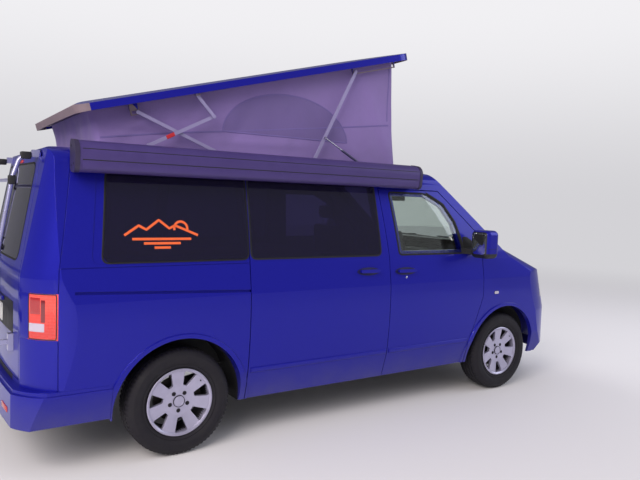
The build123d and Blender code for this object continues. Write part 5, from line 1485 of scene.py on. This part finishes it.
@dataclass
class RisingRoof:
    """Roof shell on its bars, with the tent under it."""

    foot_z: float = 1.9368
    foot_x: Pair = (-1.958, 0.458)
    head_x: Pair = (-2.006, 0.392)
    half: float = 0.598
    tilt: float = 15.3
    rear: Pair = (-2.10, 2.114)
    corner: float = 0.05
    rows: int = 34
    wall_steps: int = 90
    end_steps: int = 44
    corner_steps: int = 8
    closed: float = 0.007
    seam: tuple[Pair, ...] = ((-1.93, 1.982), (-1.515, 2.044), (-1.06, 2.097), (-0.26, 2.192), (0.36, 2.27))
    front_seam: tuple[Pair, ...] = ((0.345, 2.30), (0.345, 2.74))
    window: Pair = (-0.585, 2.094)
    window_size: Pair = (0.525, 0.305)
    # Each fold has two ends, a width and a depth; one with a minus is drawn in.
    folds: tuple[tuple[Pair, Pair, float, float], ...] = (
        ((0.40, 1.95), (0.10, 2.62), 0.035, 0.010),
        ((0.44, 1.95), (0.30, 2.70), 0.020, -0.007),
        ((0.10, 1.95), (-0.55, 2.46), 0.050, 0.008),
        ((-0.20, 1.95), (-0.16, 2.55), 0.045, -0.006),
        ((-0.65, 1.95), (-0.40, 2.45), 0.060, 0.007),
        ((-1.10, 1.95), (-0.80, 2.40), 0.050, -0.008),
        ((-1.45, 1.95), (-1.20, 2.28), 0.045, 0.008),
        ((-1.90, 1.95), (-1.50, 2.22), 0.035, 0.009),
        ((-1.96, 2.05), (-1.30, 2.02), 0.022, -0.006),
        ((-1.20, 2.02), (-0.20, 2.05), 0.030, 0.006))

    def head_z(self, x: float) -> float:
        """Return the headliner's height at a place along the van."""
        return self.rear[1] + (x - self.rear[0]) * math.tan(math.radians(self.tilt))

    def fold(self, x: float, z: float) -> float:
        """Return how far the folds push the side wall out at a place."""
        total = 0.0
        for (x0, z0), (x1, z1), width, depth in self.folds:
            run, rise = x1 - x0, z1 - z0
            share = ((x - x0) * run + (z - z0) * rise) / (run * run + rise * rise)
            share = min(1.0, max(0.0, share))
            away = math.hypot(x - x0 - run * share, z - z0 - rise * share)
            total += depth * math.exp(-((away / width) ** 2)) * math.sin(math.pi * min(0.92, 0.08 + share))
        return total

    def ring(self) -> list[tuple[float, Vector, Vector]]:
        """Return the places round the tent's plan.

        Returns:
            For each place: its share from rear to front, the offset from its wall's line, and its normal.
        """
        r = self.corner
        span = self.half - r
        edge = r / (self.foot_x[1] - self.foot_x[0])

        def bend(end: int, side: int, step: int) -> tuple[float, Vector, Vector]:
            """Return a place on the corner of an end and a side, counted from the side wall."""
            a = math.pi / 2 * step / self.corner_steps
            place = Vector((end * (r * math.sin(a) - r), side * (span + r * math.cos(a)), 0))
            return (end + 1) / 2, place, Vector((end * math.sin(a), side * math.cos(a), 0))

        turns = range(1, self.corner_steps)
        wall = Vector((0, -self.half, 0))
        near = [(edge + (1 - 2 * edge) * i / self.wall_steps, wall, Vector((0, -1, 0)))
                for i in range(self.wall_steps + 1)]
        near += [bend(1, -1, i) for i in turns]
        front = [(1.0, Vector((0, -span + 2 * span * i / self.end_steps, 0)), Vector((1, 0, 0)))
                 for i in range(self.end_steps + 1)]
        far = [(share, Vector((p.x, -p.y, 0)), Vector((n.x, -n.y, 0))) for share, p, n in near[::-1]]
        far += [bend(-1, 1, i) for i in turns]
        rear = [(0.0, -place, -normal) for _, place, normal in front]
        return near + front + far + rear + [bend(-1, -1, self.corner_steps - i) for i in turns]

    def tent(self) -> Item:
        """Hang the tent as one continuous cloth wall."""
        rows = []
        ring = self.ring()
        for i in range(self.rows + 1):
            v = i / self.rows
            row = []
            for share, place, normal in ring:
                low = self.foot_x[0] + (self.foot_x[1] - self.foot_x[0]) * share
                top = self.head_x[0] + (self.head_x[1] - self.head_x[0]) * share
                x = low + (top - low) * v + place.x
                head = self.head_z(x)
                z = self.foot_z + (head - self.foot_z) * v
                rise = math.sin(math.pi * v)
                push = -0.006 * rise + 0.0015 * math.sin(x * 31.0 + place.y * 17.0) * rise
                if abs(normal.y) > 0.9:
                    push += self.fold(x, z)
                else:
                    push += 0.006 * math.sin(place.y * 14.0) * rise
                    push += 0.003 * math.sin(place.y * 37.0 + v * 5) * rise
                row.append(at(x, place.y, z) + normal * push)
            rows.append(row)
        made = Form().grid(rows, ring=True).piece("tent_cloth", TENT_CLOTH, "body", "tent_fabric", 60.0)
        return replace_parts(made, "tent")

    def flatten(self, piece: Item) -> Item:
        """Give a piece of the tent its own copy of its mesh."""
        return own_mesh(piece)

    def trimmings(self, cloth: Item) -> list[Item]:
        """Sew the seams and the net window on the tent's sides."""
        skin = Skin(cloth)
        seams = Form()
        net = Form()
        border = Form()
        middle, sill = self.window
        arch = arc(self.window, self.window_size, 0, 180, 40)
        foot = between([(middle - self.window_size[0], sill), (middle + self.window_size[0], sill)], 0.03)
        for side in Side:
            seams.strip(skin.along(between(self.seam, 0.02), side), 0.012, 0.0016)
            seams.strip(skin.along(between(self.front_seam, 0.02), side), 0.010, 0.0016)
            rows = []
            for k in range(13):
                row = skin.along([(x, sill + (z - sill) * k / 12 + 0.0001) for x, z in arch], side)
                rows.append([point + normal * 0.0012 for point, normal in row])
            net.grid(rows)
            border.strip(skin.along(arch + foot[1:-1], side), 0.011, 0.0024, loop=True)
        return [seams.piece("tent_seams", TENT_TAPE, "body", "tent_fabric"),
                net.piece("tent_windows", TENT_NET, "body", "tent_fabric"),
                border.piece("tent_window_tape", TENT_TAPE, "body", "tent_fabric")]

    def build(self) -> None:
        """Dress the shell, the bars and the tent."""
        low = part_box("roof_shell")[0].z
        tan = math.tan(math.radians(self.tilt))

        def bare_and_shaded(middle: Vector, normal: Vector) -> bool:
            """Whether a face of the shell takes the grey-brown: its unpainted underside, and as painted shade
            a lug or its rear end.
            """
            end = self.rear[0] + MID_X
            # The rear end and the lugs take the grey-brown as painted shade; the underside is unpainted glass
            # fibre.
            rear = normal.x < -0.3 and middle.x < end + 0.20 or normal.z < 0.3 and middle.x < end + 0.25
            rise = low + (middle.x - MID_X - self.rear[0]) * tan
            lug = abs(middle.y) < 0.70 and middle.z < rise
            lined = abs(middle.y) < 0.62 and middle.z < rise + 0.09
            return normal.z < -0.3 or rear or (lug or lined) and normal.z < 0.4

        dress(["roof_shell"], BODY_PAINT, SHELL_GREY_AND_SHADE, bare_and_shaded)
        dress(["rear_arms", "rear_levers", "knee_links", "front_arms", "bar_feet"], BAR_METAL)
        dress(["strut_tubes"], STRUT_PAINT)
        dress(["strut_rods"], STRUT_CHROME)
        cloth = self.tent()
        extras = self.trimmings(cloth)
        for piece in [cloth, *extras]:
            self.flatten(piece)


@dataclass
class Fittings:
    """Awning, mirrors, bicycle rack and lever catches."""

    cap: float = 0.027
    screws: tuple[Pair, ...] = ((-0.850, 1.90), (-0.915, 1.80), (-0.850, 1.79))
    catch_tilt: float = 27.1
    catch_half: Triple = (0.030, 0.0062, 0.0125)

    def awning(self) -> None:
        """Finish the awning's case with its lead rail, groove and cap screws."""
        low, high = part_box("awning")
        dress(["awning"], AWNING_PAINT, CAP_PLASTIC,
              lambda middle, normal: not low.x + self.cap <= middle.x <= high.x - self.cap)
        dress(["awning_brackets"], TRIM_PLASTIC)
        skin = Skin.of_nodes("awning")
        xs = [low.x + 0.04 + (high.x - low.x - 0.08) * i / 40 for i in range(41)]
        rail = Form().strip([skin.beside(x, 1.790, Side.RIGHT) for x in xs], 0.040, 0.0035)
        rail.piece("awning_lead_rail", AWNING_PAINT, "body", "awning_black")
        groove = Form().strip([skin.beside(x, 1.822, Side.RIGHT) for x in xs], 0.005, 0.0008)
        groove.strip([skin.beside(x, 1.884, Side.RIGHT) for x in xs], 0.004, 0.0008)
        groove.piece("awning_grooves", RUBBER_SEAL, "body", "black_plastic")
        screws = Form()
        head = [(0.0, 0.0008), (0.003, 0.0008), (0.0055, 0.0016), (0.007, 0.0004), (0.0072, -0.002)]
        for x, way in ((low.x, -1), (high.x, 1)):
            for y, z in self.screws:
                screws.lathe(head, Vector((x, y, z)), Vector((way, 0, 0)), 20)
        screws.piece("awning_screws", WHEEL_BOLT, "body", "strut_steel")

    def mirrors(self) -> None:
        """Paint the mirror caps and fit their glass."""
        for side in Side:
            node = f"mirror_{side.word}"
            dress([node], BODY_PAINT, TRIM_PLASTIC,
                  lambda middle, normal: middle.z < 1.285 or normal.x < -0.75)
            skin = Skin.of_nodes(node)
            middle = centre(node)
            outline = panel((side.value * 1.078, 1.326), 0.134, 0.172, 0.03)
            glass = Form().pad([skin.behind(y, z) for y, z in outline], 0.0015)
            glass.piece(f"mirror_glass_{side.word}", MIRROR_GLASS, f"door_{side.word}", "rack_silver")
            seam = [skin.beside(middle.x - 0.058 + 0.116 * i / 12, 1.288, side) for i in range(13)]
            line = Form().strip(seam, 0.003, 0.0006)
            line.piece(f"mirror_seam_{side.word}", RUBBER_SEAL, f"door_{side.word}", "black_plastic")

    def catches(self) -> None:
        """Clip the red catches to the rear levers."""
        form = Form()
        turn = Matrix.Rotation(-math.radians(self.catch_tilt), 3, "Y")
        half = Vector(self.catch_half)
        for side in Side:
            middle = at(-1.508, side.value * 0.6665, 2.0225)
            form.block(middle - half, middle + half, 0.003, turn)
        form.piece("lever_catches", RED_PLASTIC, "rear_levers", "lamp_red")

    def build(self) -> None:
        """Dress the outside fittings."""
        self.awning()
        self.mirrors()
        self.catches()
        dress(["bike_rack"], RACK_METAL)


@dataclass
class Cabin:
    """Dashboard, steering wheel, seats, bench and kitchen."""

    seat_y: float = 0.43
    seat_voxel: float = 0.012
    bench_voxel: float = 0.014
    swell: float = 0.010
    pressure: float = 4.0
    frames: int = 20
    # Each cushion has its middle's x and z, the way it runs, its size and how far its bolsters stand up.
    seat_cushions: tuple[Cushion, ...] = (
        ((0.792, 0.832), (1, 0, 0.02), (0.49, 0.485, 0.098), 0.016),
        ((0.530, 1.137), (-0.143, 0, 0.99), (0.565, 0.465, 0.088), 0.018),
        ((0.474, 1.530), (-0.09, 0, 0.996), (0.128, 0.232, 0.062), 0.0))
    bench_y: float = -0.145
    bench_cushions: tuple[Cushion, ...] = (
        ((-1.480, 0.840), (1, 0, 0.01), (0.575, 0.925, 0.128), 0.0),
        ((-1.757, 1.145), (-0.155, 0, 0.988), (0.535, 0.925, 0.095), 0.0))
    bench_box: tuple[Block, ...] = (
        ((-1.748, -0.618, 0.531), (-1.272, 0.328, 0.758), 0.006),
        ((-1.272, -0.600, 0.560), (-1.262, -0.160, 0.735), 0.003),
        ((-1.272, -0.130, 0.560), (-1.262, 0.310, 0.735), 0.003))
    hoods: tuple[Block, ...] = (
        ((1.185, 0.22, 1.150), (1.345, 0.58, 1.225), 0.028),
        ((1.185, -0.13, 1.145), (1.330, 0.13, 1.205), 0.022),
        ((1.080, -0.12, 0.760), (1.190, 0.12, 1.060), 0.03))
    vents: tuple[float, ...] = (-0.66, -0.07, 0.07, 0.66)
    vent_slats: int = 4
    fronts: int = 4
    hobs: Pair = (1.05, 1.35)

    def bake(self, item: Item) -> None:
        """Apply an object's modifiers to its mesh."""
        graph = bpy.context.evaluated_depsgraph_get()
        data = bpy.data.meshes.new_from_object(item.evaluated_get(graph))
        item.modifiers.clear()
        item.data = data

    def stuff(self, item: Item, voxel: float) -> None:
        """Swell a sewn cover with cloth simulation, as foam does under it.

        Args:
            item: the cover.
            voxel: the size of the even mesh that is simulated.
        """
        remesh = item.modifiers.new("remesh", "REMESH")
        remesh.mode = "VOXEL"
        remesh.voxel_size = voxel
        self.bake(item)
        start = [vert.co.copy() for vert in item.data.vertices]
        cloth = item.modifiers.new("cloth", "CLOTH")
        cloth.settings.quality = 5
        cloth.settings.use_pressure = True
        cloth.settings.uniform_pressure_force = self.pressure
        cloth.settings.effector_weights.gravity = 0.0
        scene = bpy.context.scene
        for number in range(1, self.frames + 1):
            scene.frame_set(number)
        self.bake(item)
        scene.frame_set(1)
        for vert, place in zip(item.data.vertices, start):
            move = vert.co - place
            if move.length > self.swell:
                vert.co = place + move * (self.swell / move.length)

    def sew(self, item: Item, lines: Sequence[tuple[str, float, float]]) -> None:
        """Draw channels into a cover along planes across an axis.

        Args:
            item: the cover.
            lines: for each channel its axis, its place on it and its depth.
        """
        for vert in item.data.vertices:
            for axis, place, depth in lines:
                away = abs(getattr(vert.co, axis) - place)
                if away < 0.03:
                    facing = 1 - abs(getattr(vert.normal, axis))
                    vert.co -= vert.normal * (depth * math.exp(-((away / 0.008) ** 2)) * facing)

    def finish(self, item: Item) -> None:
        """Smooth a cover and divide it once."""
        item.data.polygons.foreach_set("use_smooth", [True] * len(item.data.polygons))
        item.modifiers.new("divided", "SUBSURF").levels = 1
        item.modifiers["divided"].render_levels = 1

    def cover(self, cushions: Sequence[Cushion], y: float) -> Form:
        """Lay out the cushions of a seat whose middle lies at y."""
        form = Form()
        for (x, z), way, size, bolster in cushions:
            form.cushion((x + MID_X, y, z), way, size, bolster)
        return form

    def seats(self) -> None:
        """Upholster the front seats on their plinths."""
        plinth = Form()
        posts = Form()
        for y in (-self.seat_y, self.seat_y):
            plinth.block(at(0.585, y - 0.215, 0.531), at(0.995, y + 0.215, 0.735), 0.02)
            plinth.block(at(0.555, y - 0.240, 0.735), at(1.035, y + 0.240, 0.775), 0.012)
            for side in (-0.054, 0.054):
                posts.tube([at(0.474, y + side, 1.40), at(0.473, y + side, 1.49)], 0.006, 14)
        plinth.piece("seat_plinths", DASH_PLASTIC, "body", "dash_plastic")
        posts.piece("headrest_posts", STRUT_CHROME, "body", "strut_steel")
        y = -self.seat_y
        right = self.cover(self.seat_cushions, y).piece("front_seat_right", SEAT_CLOTH, "body",
                                                        "seat_fabric", 60.0)
        self.stuff(right, self.seat_voxel)
        self.sew(right, [("y", y - 0.15, 0.006), ("y", y + 0.15, 0.006), ("z", 1.30, 0.005),
                         ("z", 1.06, 0.005), ("x", 0.93 + MID_X, 0.005)])
        copied = right.data.copy()
        for vert in copied.vertices:
            vert.co.y = -vert.co.y
        copied.flip_normals()
        left = bpy.data.objects.new("front_seat_left", copied)
        bpy.context.scene.collection.objects.link(left)
        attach(left, "body")
        for seat in (right, left):
            self.finish(seat)
        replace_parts(right, "front_seats")

    def bench(self) -> None:
        """Upholster the rear bench on its box."""
        Form().blocks(self.bench_box).piece("bench_box", CABINET_BOARD, "body", "cabinet_board")
        bench = self.cover(self.bench_cushions, self.bench_y).piece("bench_cushions", SEAT_PALE, "body",
                                                                    "seat_fabric", 60.0)
        self.stuff(bench, self.bench_voxel)
        self.sew(bench, [("y", self.bench_y, 0.012), ("y", -0.38, 0.006), ("y", 0.09, 0.006)])
        self.finish(bench)
        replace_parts(bench, "rear_bench")

    def kitchen(self) -> None:
        """Put fronts, knobs, a worktop, a basin and a hob on the kitchen unit."""
        dress(["kitchen_unit"], CABINET_BOARD)
        low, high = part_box("kitchen_unit")
        fronts = Form()
        knobs = Form()
        width = (high.x - low.x - 0.02) / self.fronts
        for index in range(self.fronts):
            x = low.x + 0.01 + width * index
            fronts.block(Vector((x + 0.004, low.y - 0.016, 0.600)),
                         Vector((x + width - 0.004, low.y, 1.140)), 0.003)
            knobs.lathe([(0.0, 0.016), (0.011, 0.014), (0.012, 0.008), (0.006, 0.004), (0.006, -0.002)],
                        Vector((x + width / 2, low.y - 0.016, 1.08)), Vector((0, -1, 0)), 24)
        fronts.piece("kitchen_fronts", CABINET_BOARD, "body", "cabinet_board")
        knobs.piece("kitchen_knobs", STRUT_CHROME, "body", "strut_steel")
        level = high.z + 0.022
        top = Form().block(Vector((low.x, low.y - 0.020, high.z)), Vector((high.x, high.y, level)), 0.004)
        top.piece("kitchen_worktop", WORKTOP, "body", "cabinet_board")
        basin = Form().lathe([(0.150, 0.0035), (0.158, 0.003), (0.162, -0.001), (0.140, -0.001),
                              (0.134, 0.001)], Vector((low.x + 0.55, 0.61, level)), Vector((0, 0, 1)), 48)
        for x in self.hobs:
            basin.lathe([(0.030, 0.012), (0.048, 0.010), (0.052, 0.002), (0.060, 0.0), (0.060, -0.001)],
                        Vector((low.x + x, 0.61, level)), Vector((0, 0, 1)), 40)
        basin.piece("basin_and_hob", STRUT_CHROME, "body", "strut_steel")

    def dash(self) -> None:
        """Detail the dashboard and the steering wheel."""
        dress(["dashboard", "steering_wheel"], DASH_PLASTIC)
        Form().blocks(self.hoods).piece("dash_hoods", DASH_PLASTIC, "body", "dash_plastic")
        vents = Form()
        for y in self.vents:
            for k in range(self.vent_slats):
                vents.block(at(1.122, y - 0.05, 1.040 + 0.012 * k), at(1.136, y + 0.05, 1.045 + 0.012 * k),
                            0.001)
        vents.piece("dash_vents", TRIM_PLASTIC, "body", "black_plastic")
        lever = Form().tube([at(1.10, 0.0, 0.98), at(1.03, 0.0, 1.03)], 0.008, 14)
        lever.lathe([(0.0, 0.042), (0.018, 0.038), (0.023, 0.022), (0.016, 0.004), (0.009, 0.0)],
                    at(1.03, 0.0, 1.03), Vector((-0.81, 0, 0.58)), 24)
        lever.piece("gear_lever", DASH_PLASTIC, "body", "dash_plastic")
        mirror = Form().block(at(0.985, -0.11, 1.660), at(1.005, 0.11, 1.725), 0.009)
        mirror.piece("inner_mirror", TRIM_PLASTIC, "body", "black_plastic")

    def build(self) -> None:
        """Build the cabin."""
        self.dash()
        self.seats()
        self.bench()
        self.kitchen()


def main() -> None:
    """Build the van's finishes and fittings in order."""
    logging.basicConfig(level=logging.INFO, format="%(name)s %(message)s")
    Studio().build()
    Bodywork().build()
    Glazing().build()
    for end in ("front", "rear"):
        for side in Side:
            Wheel(end, side).build()
    RisingRoof().build()
    Tail().build()
    Fittings().build()
    Cabin().build()


if __name__ == "__main__":
    main()
